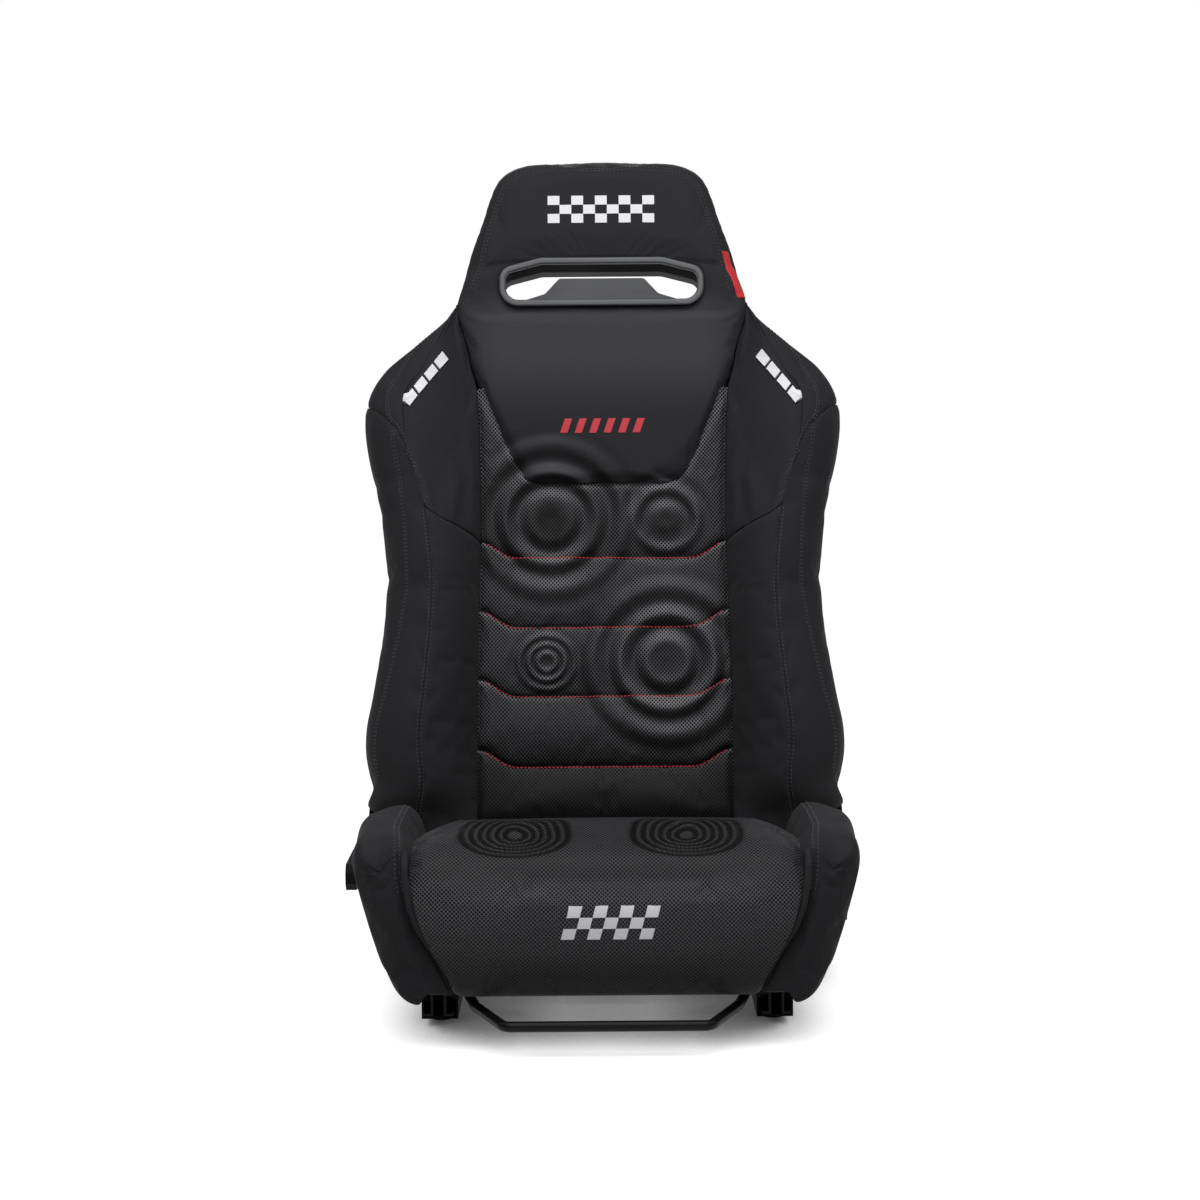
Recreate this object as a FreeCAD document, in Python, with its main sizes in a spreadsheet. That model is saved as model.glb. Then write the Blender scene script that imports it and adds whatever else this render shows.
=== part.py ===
import FreeCAD, Part
import Sketcher
import math
import os
from FreeCAD import Placement, Rotation, Vector

# Racing seat on slide rails, in millimetres.
# X points to the viewer's right, the seat faces -Y, and Z is up from the floor under the rail feet.
# Names ending in left and right are the viewer's left (-X) and right (+X).

doc = FreeCAD.newDocument("racing_seat")

# Driving sizes: what a designer would change, each written once.
driving_sizes = {
    # Rails on the floor
    "rail_spacing": 350.0,
    "bolt_span": 300.0,
    "bolt_hole_radius": 4.25,
    "foot_radius": 10.0,
    "foot_height": 8.0,
    "rail_length": 370.0,
    "rail_width": 38.0,
    "rail_height": 22.0,
    "rail_wall": 2.5,
    "rail_mouth": 20.0,
    "end_cap_length": 4.0,
    # Upper rails and their balls
    "ball_radius": 3.0,
    "ball_play": 0.05,
    "ball_offset": 12.0,
    "ball_pitch": 70.0,
    "cage_length": 240.0,
    "cage_width": 6.0,
    "cage_thick": 1.0,
    "upper_rail_length": 390.0,
    "upper_rail_lead": 20.0,
    "upper_rail_rise": 34.0,
    "web_width": 16.0,
    "flange_width": 30.0,
    # Slide lock
    "latch_back": 60.0,
    "latch_pitch": 10.0,
    "latch_slot": 6.4,
    "latch_play": 0.4,
    "latch_thick": 3.0,
    "latch_width": 9.0,
    "latch_length": 44.0,
    "latch_clearance": 0.3,
    "latch_tooth": 4.5,
    "latch_lift": 3.5,
    "guide_pin_radius": 2.0,
    "guide_spread": 34.0,
    "slide_travel": 90.0,
    # Release bar
    "bar_radius": 5.5,
    "bar_grip_half": 103.0,
    "bar_shoulder_half": 134.0,
    "bar_arm_half": 146.0,
    "bar_reach": 125.0,
    "bar_pivot_back": 10.0,
    "bar_pivot_drop": 0.5,
    "bar_knee_reach": 56.0,
    "bar_knee_drop": 5.0,
    "bar_grip_drop": 10.5,
    "bar_play": 0.09,
    "bar_bush_wall": 3.0,
    # Seat pan
    "pan_gap": 10.0,
    "pan_thick": 2.0,
    "pan_half_width": 186.0,
    "pan_front": 236.0,
    "pan_rear": 112.0,
    "pan_post_width": 26.0,
    "pan_post_front": 190.0,
    "pan_post_rear": 15.0,
    # Seat cushion
    "soft_gap": 0.4,
    "cushion_bottom_half": 155.0,
    "cushion_top_half": 200.0,
    "cushion_side_height": 158.0,
    "cushion_crest": 214.0,
    "cushion_crest_front": 238.0,
    "cushion_face": 316.0,
    "cushion_toe": 290.0,
    "cushion_fall": 169.0,
    "cushion_fall_back": 50.0,
    "cushion_tail": 124.0,
    "cushion_tail_half": 146.0,
    "cushion_shoulder_back": 64.0,
    "cushion_crown": 4.0,
    # Cushion side bolsters
    "thigh_crest": 225.0,
    "thigh_crest_half": 221.0,
    "thigh_outer_half": 262.0,
    "thigh_outer_height": 193.0,
    "thigh_rear_half": 240.0,
    "thigh_rear_drop": 66.0,
    "thigh_hem": 47.0,
    "thigh_hem_half": 212.0,
    "thigh_nose": 300.0,
    # Recliner
    "pivot_back": 185.0,
    "pivot_height": 130.0,
    "recline_angle": 13.0,
    "frame_half_width": 218.0,
    "frame_tube_radius": 9.5,
    "plate_thick": 3.5,
    "joint_gap": 0.3,
    "disc_thick": 12.0,
    "disc_radius": 38.0,
    "boss_radius": 20.0,
    "boss_length": 6.0,
    "bracket_radius": 44.0,
    "bracket_foot_front": 140.0,
    "bracket_foot_rear": 15.0,
    "bracket_bolt_inset": 25.0,
    "cover_gap": 0.5,
    "cover_depth": 26.0,
    "cover_wall": 2.5,
    "cover_radius": 52.0,
    "cover_arm_top": 97.0,
    "cover_arm_bottom": 72.0,
    "cover_arm_front": 5.0,
    "cover_arm_chamfer": 10.0,
    "cover_step": 7.0,
    "shaft_radius": 5.0,
    "shaft_play": 0.05,
    # Recline lever
    "lever_gap": 3.0,
    "lever_thick": 12.0,
    "lever_hub_radius": 15.0,
    "lever_reach": 185.0,
    "lever_handle_height": 29.0,
    "lever_handle_length": 95.0,
    "lever_handle_drop": 6.5,
    # Backrest frame, measured up the back from the recline pivot
    "frame_start": 32.0,
    "frame_bend": 430.0,
    "neck_tube_half": 150.0,
    "neck_tube_height": 600.0,
    "head_tube_half": 112.0,
    "head_tube_height": 771.0,
    "frame_bend_radius": 40.0,
    "cross_tube_low": 62.0,
    "cross_tube_high": 452.0,
    "board_thick": 2.0,
    "board_low": 150.0,
    "board_high": 440.0,
    # Backrest outline
    "back_gap": 0.5,
    "hem_height": 28.0,
    "hem_half": 250.0,
    "flare_height": 105.0,
    "flare_half": 275.0,
    "waist_height": 295.0,
    "waist_half": 249.0,
    "shoulder_height": 490.0,
    "shoulder_half": 278.0,
    "neck_height": 630.0,
    "neck_half": 175.0,
    "neck_slope": 1.4,
    "head_top": 808.0,
    "head_top_half": 78.0,
    "head_side_half": 131.0,
    "head_corner_drop": 38.0,
    # Backrest pads
    "pad_half_width": 148.0,
    "pad_thick": 34.0,
    "pad_puff": 7.0,
    "pad_edge_rise": 6.0,
    "pad_top": 528.0,
    "channel_first": 86.0,
    "channel_pitch": 82.0,
    "channel_tip": 18.0,
    "tongue_knee_half": 101.0,
    "tongue_knee": 437.0,
    "tongue_tip_half": 88.0,
    "tongue_tip": 421.0,
    "tongue_thick": 44.0,
    "crest_inset": 52.0,
    "crest_rise": 108.0,
    "hem_rise": 70.0,
    "shoulder_rise": 92.0,
    "wing_top": 627.0,
    "wing_rise": 52.0,
    "wing_seam": 440.0,
    "head_thick": 50.0,
    "fold_clearance": 57.0,
    # Backrest shell
    "shell_inset": 6.0,
    "shell_wall": 2.5,
    "shell_depth": 56.0,
    "shell_head_depth": 25.0,
    "shell_taper_start": 450.0,
    "shell_taper": 150.0,
    # Head opening
    "opening_low": 632.0,
    "opening_high": 687.0,
    "opening_half": 119.0,
    "opening_flat_half": 72.0,
    "opening_shoulder_half": 105.0,
    "opening_shoulder_drop": 9.0,
    "opening_floor_half": 99.0,
    "bezel_width": 6.0,
    "bezel_wall": 2.0,
    "bezel_proud": 3.0,
    "guide_half": 50.0,
    "guide_rise": 34.0,
    "guide_thick": 3.0,
    # Side tag
    "tag_low": 642.0,
    "tag_high": 702.0,
    "tag_thick": 1.2,
    "tag_width": 22.0,
    # Vibration units
    "unit_radius": 28.0,
    "unit_thick": 16.0,
    "unit_gap": 1.0,
    "unit_half_spacing": 66.0,
    "unit_low": 210.0,
    "unit_high": 378.0,
    "seat_unit_half_spacing": 91.0,
    "seat_unit_front": 220.0,
    "seat_unit_height": 164.0,
    "seat_unit_post": 11.0,
    # Control box
    "box_length": 120.0,
    "box_depth": 80.0,
    "box_height": 26.0,
    "box_wall": 2.5,
    "socket_radius": 4.0,
    # Fasteners
    "bolt_radius": 4.0,
    "head_radius": 6.5,
    "head_height": 5.0,
    "screw_head_radius": 5.0,
    "screw_head_height": 2.0,
    "screw_half": 170.0,
    "screw_head_half": 75.0,
    "screw_low": 90.0,
    "screw_middle": 400.0,
    "screw_top": 740.0,
}

sheet = doc.addObject("Spreadsheet::Sheet", "sizes")
for row, (alias, value) in enumerate(driving_sizes.items(), start=1):
    sheet.set(f"A{row}", alias)
    sheet.set(f"B{row}", str(value))
    sheet.setAlias(f"B{row}", alias)
doc.recompute()


class Measure:
    # A length worked out from the sheet: its number now, and the formula that keeps it bound.
    def __init__(self, number, formula):
        self.number = number
        self.formula = formula

    def __add__(self, other):
        other = measure(other)
        return Measure(self.number + other.number, f"({self.formula} + {other.formula})")

    def __sub__(self, other):
        other = measure(other)
        return Measure(self.number - other.number, f"({self.formula} - {other.formula})")

    def __mul__(self, other):
        other = measure(other)
        return Measure(self.number * other.number, f"({self.formula} * {other.formula})")

    def __truediv__(self, other):
        other = measure(other)
        return Measure(self.number / other.number, f"({self.formula} / {other.formula})")

    def __neg__(self):
        return Measure(-self.number, f"(0 - {self.formula})")

    __radd__ = __add__
    __rmul__ = __mul__

    def __rsub__(self, other):
        return measure(other) - self


def measure(value):
    if isinstance(value, Measure):
        return value
    return Measure(float(value), f"({float(value)})")


def size(alias):
    return Measure(float(sheet.get(alias)), f"sizes.{alias}")


def length(alias):
    return float(sheet.get(alias))


def bind(obj, **properties):
    # Gives each property its number and ties it to the sheet.
    for name, value in properties.items():
        value = measure(value)
        setattr(obj, name, value.number)
        obj.setExpression(name, value.formula)


def place(obj, x=0.0, y=0.0, z=0.0, rotation=Rotation()):
    spot = [measure(value) for value in (x, y, z)]
    obj.Placement = Placement(Vector(*[value.number for value in spot]), rotation)
    for axis, value in zip("xyz", spot):
        obj.setExpression(f"Placement.Base.{axis}", value.formula)
    return obj


# Axis directions for cylinders
along_x = Rotation(Vector(0, 1, 0), 90)
along_y = Rotation(Vector(1, 0, 0), -90)
along_z = Rotation()


def box(name, x, y, z):
    # A block from three (low, high) pairs.
    block = doc.addObject("Part::Box", name)
    bind(block, Length=x[1] - x[0], Width=y[1] - y[0], Height=z[1] - z[0])
    return place(block, x[0], y[0], z[0])


def rod(name, radius, height, x, y, z, rotation=along_z):
    cylinder = doc.addObject("Part::Cylinder", name)
    bind(cylinder, Radius=radius, Height=height)
    return place(cylinder, x, y, z, rotation)


def cut(name, base, tool):
    result = doc.addObject("Part::Cut", name)
    result.Base = base
    result.Tool = tool
    return result


def fuse(name, shapes):
    result = doc.addObject("Part::MultiFuse", name)
    result.Shapes = shapes
    return result


def group(name, shapes):
    result = doc.addObject("Part::Compound", name)
    result.Links = shapes
    return result


def holed(name, base, tools):
    # The base with every tool cut out of it.
    return cut(name, base, tools[0] if len(tools) == 1 else fuse(f"{name}_tools", tools))


def origin_part(body, role):
    for feature in body.Origin.OriginFeatures:
        if feature.Role == role:
            return feature
    raise RuntimeError(f"{body.Name} has no {role}")


def sketch(body, plane, offset, outline=(), circles=()):
    # A closed outline of straight edges, and circles, each point tied to the sheet.
    profile = body.newObject("Sketcher::SketchObject", f"{body.Name}_sketch")
    profile.AttachmentSupport = [(origin_part(body, plane), "")]
    profile.MapMode = "FlatFace"
    offset = measure(offset)
    profile.AttachmentOffset = Placement(Vector(0, 0, offset.number), Rotation())
    profile.setExpression("AttachmentOffset.Base.z", offset.formula)

    def tie(kind, *spot):
        value = measure(spot[-1])
        index = profile.addConstraint(Sketcher.Constraint(kind, *spot[:-1], value.number))
        profile.setExpression(f"Constraints[{index}]", value.formula)

    points = [(measure(a), measure(b)) for a, b in outline]
    for index, (a, b) in enumerate(points):
        after = points[(index + 1) % len(points)]
        start = Vector(a.number, b.number, 0)
        finish = Vector(after[0].number, after[1].number, 0)
        profile.addGeometry(Part.LineSegment(start, finish), False)
    for index in range(len(points)):
        following = (index + 1) % len(points)
        profile.addConstraint(Sketcher.Constraint("Coincident", index, 2, following, 1))
    for index, (a, b) in enumerate(points):
        tie("DistanceX", -1, 1, index, 1, a)
        tie("DistanceY", -1, 1, index, 1, b)
    for a, b, radius in circles:
        centre = Vector(measure(a).number, measure(b).number, 0)
        circle = Part.Circle(centre, Vector(0, 0, 1), measure(radius).number)
        index = profile.addGeometry(circle, False)
        tie("DistanceX", -1, 1, index, 3, a)
        tie("DistanceY", -1, 1, index, 3, b)
        tie("Radius", index, radius)
    return profile


def add_feature(body, plane, low, high, outline=(), circles=(), remove=False):
    # Pads or pockets a profile from low to high along the plane's own world axis.
    low = measure(low)
    high = measure(high)
    flipped = plane == "XZ_Plane"
    if remove:
        offset = -low if flipped else high
    else:
        offset = -high if flipped else low
    profile = sketch(body, plane, offset, outline, circles)
    kind = "PartDesign::Pocket" if remove else "PartDesign::Pad"
    feature = body.newObject(kind, f"{body.Name}_{'pocket' if remove else 'pad'}")
    feature.Profile = profile
    bind(feature, Length=high - low)
    return feature


def new_body(label):
    return doc.addObject("PartDesign::Body", label)


def edge_chain(points):
    # A closed wire from ("line", end) and ("arc", middle, end) steps, starting at the first point.
    start = points[0]
    edges = []
    here = start
    for step in points[1:]:
        if step[0] == "line":
            edges.append(Part.makeLine(here, step[1]))
        else:
            edges.append(Part.Arc(here, step[1], step[2]).toShape())
        here = step[-1]
    if (here - start).Length > 1e-6:
        edges.append(Part.makeLine(here, start))
    return Part.Wire(edges)


def loft(wires):
    solid = Part.makeLoft(wires, True, True)
    solid = Part.Solid(solid.Shells[0]) if solid.ShapeType != "Solid" else solid
    if solid.Volume < 0:
        solid.reverse()
    return solid


def bent_tube(points, radius, bend):
    # A round bar along straight runs with rounded corners.
    edges = []
    here = points[0]
    for corner, after in zip(points[1:-1], points[2:]):
        back = (here - corner).normalize() if edges else (points[0] - corner).normalize()
        ahead = (after - corner).normalize()
        turn = math.pi - back.getAngle(ahead)
        setback = bend * math.tan(turn / 2)
        start = corner + back * setback
        finish = corner + ahead * setback
        middle_way = (back + ahead).normalize()
        middle = corner + middle_way * (bend / math.cos(turn / 2) - bend)
        edges.append(Part.makeLine(here, start))
        edges.append(Part.Arc(start, middle, finish).toShape())
        here = finish
    edges.append(Part.makeLine(here, points[-1]))
    path = Part.Wire(edges)
    direction = (points[1] - points[0]).normalize()
    section = Part.Wire([Part.makeCircle(radius, points[0], direction)])
    tube = path.makePipeShell([section], True, False, 1)
    return tube


def solid_feature(label, shape, placement=Placement()):
    feature = doc.addObject("Part::Feature", label)
    feature.Shape = shape
    feature.Placement = placement
    return feature


nodes = {}


def keep(label, obj):
    # Hands a finished sub-part in under its own name.
    obj.Label = label
    nodes[label] = obj
    return obj


sides = (("left", -1), ("right", 1))


def outward(side, inner, outer):
    # The (low, high) pair in X of a stretch from inner to outer on one side.
    if side > 0:
        return inner, outer
    return -outer, -inner


# Floor rails: a channel with inward lips, bolted down through four feet

rail_centre = size("rail_spacing") / 2
rail_floor = size("foot_height") + size("rail_wall")
rail_lip_top = size("foot_height") + size("rail_height")
rail_lip_bottom = rail_lip_top - size("rail_wall")


def channel_outline(centre):
    half = size("rail_width") / 2
    inner = half - size("rail_wall")
    mouth = size("rail_mouth") / 2
    bottom = size("foot_height")
    return [
        (centre - half, bottom),
        (centre + half, bottom),
        (centre + half, rail_lip_top),
        (centre + mouth, rail_lip_top),
        (centre + mouth, rail_lip_bottom),
        (centre + inner, rail_lip_bottom),
        (centre + inner, rail_floor),
        (centre - inner, rail_floor),
        (centre - inner, rail_lip_bottom),
        (centre - mouth, rail_lip_bottom),
        (centre - mouth, rail_lip_top),
        (centre - half, rail_lip_top),
    ]


def latch_span(side):
    # The lock works in the lip on the seat's inner side.
    near = rail_centre - size("rail_mouth") / 2 - size("latch_width") / 2
    half = size("latch_width") / 2 - 1.5
    return outward(side, near - half, near + half)


slot_count = int(2 * (length("slide_travel") // length("latch_pitch") + 1) + 3)
for name, side in sides:
    rail = new_body(f"lower_rail_{name}")
    half_length = size("rail_length") / 2
    add_feature(rail, "XZ_Plane", -half_length, half_length, channel_outline(side * rail_centre))
    bolts = [(side * rail_centre, end * size("bolt_span") / 2, size("bolt_hole_radius")) for end in (-1, 1)]
    add_feature(rail, "XY_Plane", size("foot_height") - 1, rail_floor + 1, circles=bolts, remove=True)
    low, high = latch_span(side)
    first = -size("latch_back") - size("latch_pitch") * ((slot_count - 1) / 2)
    reach = size("latch_slot") / 2
    slot = add_feature(
        rail,
        "XY_Plane",
        rail_lip_bottom - 1,
        rail_lip_top + 1,
        [(low, first - reach), (high, first - reach), (high, first + reach), (low, first + reach)],
        remove=True,
    )
    row = rail.newObject("PartDesign::LinearPattern", f"slots_{name}")
    row.Originals = [slot]
    row.Direction = (origin_part(rail, "Y_Axis"), [""])
    row.Occurrences = slot_count
    bind(row, Length=size("latch_pitch") * (slot_count - 1))
    rail.Tip = row
    keep(f"lower_rail_{name}", rail)

feet = []
for name, side in sides:
    for end in (-1, 1):
        spot = (side * rail_centre, end * size("bolt_span") / 2)
        tag = f"foot_{name}_{'front' if end < 0 else 'rear'}"
        outer = rod(tag, size("foot_radius"), size("foot_height"), *spot, 0)
        bore = rod(f"{tag}_bore", size("bolt_hole_radius"), size("foot_height") + 2, *spot, -1)
        feet.append(cut(f"{tag}_ring", outer, bore))
keep("rail_feet", group("rail_feet_group", feet))

caps = []
for name, side in sides:
    for end in (-1, 1):
        cap = new_body(f"end_cap_{name}_{'front' if end < 0 else 'rear'}")
        near = size("rail_length") / 2
        far = near + size("end_cap_length")
        low, high = (-far, -near) if end < 0 else (near, far)
        add_feature(cap, "XZ_Plane", low, high, channel_outline(side * rail_centre))
        caps.append(cap)
keep("rail_end_caps", group("rail_end_caps_group", caps))

# Upper rails: a hat section whose flanges run on balls inside the channel

flange_bottom = rail_floor + size("ball_radius") * 2 + size("ball_play") * 2
flange_top = flange_bottom + size("rail_wall")
upper_top = size("foot_height") + size("upper_rail_rise")
upper_front = -size("upper_rail_length") / 2 - size("upper_rail_lead")
upper_rear = size("upper_rail_length") / 2 - size("upper_rail_lead")
web_inner = rail_centre - size("web_width") / 2
web_outer = rail_centre + size("web_width") / 2
foot_front = size("pivot_back") - size("bracket_foot_front")
foot_rear = size("pivot_back") - size("bracket_foot_rear")
foot_bolts = [foot_front + size("bracket_bolt_inset"), foot_rear - size("bracket_bolt_inset")]

for name, side in sides:
    centre = side * rail_centre
    web = size("web_width") / 2
    hollow = web - size("rail_wall")
    flange = size("flange_width") / 2
    rail = new_body(f"upper_rail_{name}")
    outline = [
        (centre - flange, flange_bottom),
        (centre - hollow, flange_bottom),
        (centre - hollow, upper_top - size("rail_wall")),
        (centre + hollow, upper_top - size("rail_wall")),
        (centre + hollow, flange_bottom),
        (centre + flange, flange_bottom),
        (centre + flange, flange_top),
        (centre + web, flange_top),
        (centre + web, upper_top),
        (centre - web, upper_top),
        (centre - web, flange_top),
        (centre - flange, flange_top),
    ]
    add_feature(rail, "XZ_Plane", upper_front, upper_rear, outline)
    spots = [-size("pan_post_front"), -size("pan_post_rear")] + foot_bolts
    holes = [(centre, spot, size("bolt_radius")) for spot in spots]
    holes_low = upper_top - size("rail_wall") - 1
    add_feature(rail, "XY_Plane", holes_low, upper_top + 1, circles=holes, remove=True)
    keep(f"upper_rail_{name}", rail)

ball_height = rail_floor + size("ball_play") + size("ball_radius")
for name, side in sides:
    pieces = []
    for lane in (-1, 1):
        lane_x = side * rail_centre + lane * size("ball_offset")
        strip = box(
            f"cage_{name}_{lane}",
            (lane_x - size("cage_width") / 2, lane_x + size("cage_width") / 2),
            (-size("cage_length") / 2, size("cage_length") / 2),
            (ball_height - size("cage_thick") / 2, ball_height + size("cage_thick") / 2),
        )
        holes = []
        for spot in (-1.5, -0.5, 0.5, 1.5):
            ball_y = size("ball_pitch") * spot
            ball = doc.addObject("Part::Sphere", f"ball_{name}_{lane}")
            bind(ball, Radius=size("ball_radius"))
            place(ball, lane_x, ball_y, ball_height)
            pieces.append(ball)
            hole_radius = size("ball_radius") + size("ball_play")
            holes.append(rod(f"hole_{name}_{lane}", hole_radius, 4, lane_x, ball_y, ball_height - 2))
        pieces.append(holed(f"cage_{name}_{lane}_holed", strip, holes))
    keep(f"ball_cage_{name}", group(f"ball_cage_{name}_group", pieces))

# Slide lock: a toothed plate on two guide pins, drawn just clear of the lip slots so that the seat slides

tooth_bottom = rail_lip_top + size("latch_clearance")
plate_bottom = tooth_bottom + size("latch_tooth")
plate_top = plate_bottom + size("latch_thick")
guide_plate_low = plate_top + size("latch_lift") + 0.5
latch_half = size("latch_length") / 2
guide_pins = [-size("latch_back") + end * size("guide_spread") / 2 for end in (-1, 1)]
latch_centre = rail_centre - size("rail_mouth") / 2 - size("latch_width") / 2
tooth_length = size("latch_slot") - size("latch_play") * 2

for name, side in sides:
    latch = new_body(f"latch_plate_{name}")
    low, high = outward(side, latch_centre - size("latch_width") / 2, latch_centre + size("latch_width") / 2)
    front = -size("latch_back") - latch_half
    rear = -size("latch_back") + latch_half
    outline = [(low, front), (high, front), (high, rear), (low, rear)]
    hole = size("guide_pin_radius") + size("bar_play")
    holes = [(side * latch_centre, pin_y, hole) for pin_y in guide_pins]
    add_feature(latch, "XY_Plane", plate_bottom, plate_top, outline, holes)
    low, high = latch_span(side)
    low = low + size("latch_play")
    high = high - size("latch_play")
    for tooth in (-1, 0, 1):
        middle = -size("latch_back") + tooth * size("latch_pitch")
        front = middle - tooth_length / 2
        rear = middle + tooth_length / 2
        outline = [(low, front), (high, front), (high, rear), (low, rear)]
        add_feature(latch, "XY_Plane", tooth_bottom, plate_bottom, outline)
    keep(f"latch_plate_{name}", latch)

    guide = new_body(f"latch_guide_{name}")
    low, high = outward(side, latch_centre - size("latch_width") / 2, web_inner)
    front = -size("latch_back") - latch_half
    rear = -size("latch_back") + latch_half
    outline = [(low, front), (high, front), (high, rear), (low, rear)]
    add_feature(guide, "XY_Plane", guide_plate_low, guide_plate_low + 1.5, outline)
    pins = [(side * latch_centre, pin_y, size("guide_pin_radius")) for pin_y in guide_pins]
    add_feature(guide, "XY_Plane", plate_bottom + 0.5, guide_plate_low, circles=pins)
    keep(f"latch_guide_{name}", guide)

# Release bar: one bent bar, hinged in a bush on each upper rail

bar_pivot_y = upper_front + size("bar_pivot_back")
bar_pivot_z = upper_top - size("bar_pivot_drop")
bar_grip_y = bar_pivot_y - size("bar_reach")
bar_grip_z = bar_pivot_z - size("bar_grip_drop")
bush_inner = size("bar_arm_half") + size("bar_radius") + 2

pivot_y = bar_pivot_y.number
pivot_z = bar_pivot_z.number
right_end = web_inner.number - 0.5
arm = length("bar_arm_half")
shoulder = length("bar_shoulder_half")
bar_points = [
    Vector(right_end, pivot_y, pivot_z),
    Vector(arm, pivot_y, pivot_z),
    Vector(shoulder, pivot_y - length("bar_knee_reach"), pivot_z - length("bar_knee_drop")),
    Vector(length("bar_grip_half"), bar_grip_y.number, bar_grip_z.number),
]
bar_points += [Vector(-point.x, point.y, point.z) for point in reversed(bar_points)]
bar_shape = bent_tube(bar_points, length("bar_radius"), length("bar_radius") * 1.9)
keep("release_bar", solid_feature("release_bar", bar_shape))

for name, side in sides:
    low, high = outward(side, bush_inner, web_inner)
    bore = size("bar_radius") + size("bar_play")
    wall = bore + size("bar_bush_wall")
    outer = rod(f"bush_{name}", wall, high - low, low, bar_pivot_y, bar_pivot_z, along_x)
    inner = rod(f"bush_{name}_bore", bore, high - low + 2, low - 1, bar_pivot_y, bar_pivot_z, along_x)
    keep(f"bar_bush_{name}", cut(f"bar_bush_{name}_ring", outer, inner))

# Seat pan on four posts, with bolt heads on top of the pan posts

pan_bottom = upper_top + size("pan_gap")
pan_top = pan_bottom + size("pan_thick")
post_middles = (-size("pan_post_front"), -size("pan_post_rear"))

posts = []
post_bores = []
for name, side in sides:
    for middle in post_middles:
        reach = size("pan_post_width") / 2
        low, high = outward(side, web_inner, web_outer)
        post = box(f"post_{name}", (low, high), (middle - reach, middle + reach), (upper_top, pan_bottom))
        spot = (side * rail_centre, middle, upper_top - 1)
        bore = rod(f"post_bore_{name}", size("bolt_radius"), size("pan_gap") + 2, *spot)
        posts.append(cut(f"post_{name}_holed", post, bore))
keep("pan_posts", group("pan_posts_group", posts))

pan = new_body("seat_pan")
half = size("pan_half_width")
pan_low = -size("pan_front")
pan_high = size("pan_rear")
outline = [(-half, pan_low), (half, pan_low), (half, pan_high), (-half, pan_high)]
pan_holes = []
for name, side in sides:
    for middle in post_middles:
        pan_holes.append((side * rail_centre, middle, size("bolt_radius")))
add_feature(pan, "XY_Plane", pan_bottom, pan_top, outline, pan_holes)
hem_low = pan_high - size("pan_thick")
hem = [(-half, hem_low), (half, hem_low), (half, pan_high), (-half, pan_high)]
add_feature(pan, "XY_Plane", upper_top + size("rail_wall") + 0.5, pan_bottom, hem)
keep("seat_pan", pan)

# Seat cushion: side profiles from the middle out, joined by ruled faces

cushion_floor = pan_top + size("soft_gap")


def cushion_profile(across, bottom, front_pull):
    # Crowned top, rolled front edge and bulged front face, in the plane X = across.
    def at(y, z):
        return Vector(across, y, z)

    crest = length("cushion_crest") - front_pull * 0.5
    face = length("cushion_face") - front_pull
    toe = min(length("cushion_toe"), face - 4)
    crest_y = -length("cushion_crest_front")
    fall_y = length("cushion_fall_back")
    fall_z = length("cushion_fall")
    tail_y = length("cushion_tail")
    tail_z = fall_z - (tail_y - fall_y) * 0.16
    low = bottom
    body_height = crest - low
    roll_z = crest - min(36.0, body_height * 0.6)
    mid_z = low + (roll_z - low) * 0.5
    crown = length("cushion_crown")
    return edge_chain(
        [
            at(tail_y - 4, low),
            ("line", at(-toe + 10, low)),
            ("arc", at(-toe + 2, low + 1.5), at(-toe, low + 6)),
            ("arc", at(-face, mid_z), at(-face + 12, roll_z)),
            ("arc", at(-face + 34, crest - 7), at(crest_y, crest)),
            ("arc", at((crest_y + fall_y) / 2, (crest + fall_z) / 2 + crown), at(fall_y, fall_z)),
            ("line", at(tail_y, tail_z)),
            ("arc", at(tail_y + 3, (tail_z + low) / 2), at(tail_y - 4, low)),
        ]
    )


side_height = length("cushion_side_height")
cushion_stations = [
    (length("cushion_top_half"), side_height + 6, 6.0),
    (length("cushion_top_half") - 3, side_height, 3.0),
    (length("cushion_bottom_half"), cushion_floor.number, 0.0),
]
cushion_wires = [cushion_profile(-across, low, pull) for across, low, pull in cushion_stations]
cushion_wires += [cushion_profile(across, low, pull) for across, low, pull in reversed(cushion_stations)]
cushion_shape = loft(cushion_wires)
for side in (-1, 1):
    block = Part.makeBox(100, 100, 200)
    corner_x = length("cushion_tail_half") if side > 0 else -length("cushion_tail_half") - 100
    block.translate(Vector(corner_x, length("cushion_shoulder_back"), 40))
    cushion_shape = cushion_shape.cut(block)
pocket_radius = length("unit_radius") + length("unit_gap")
pocket_top = length("seat_unit_height") + length("unit_thick") + length("unit_gap")
for side in (-1, 1):
    spot = Vector(side * length("seat_unit_half_spacing"), -length("seat_unit_front"), 0)
    cushion_shape = cushion_shape.cut(Part.makeCylinder(pocket_radius, pocket_top, spot))
keep("seat_cushion", solid_feature("seat_cushion", cushion_shape))


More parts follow.
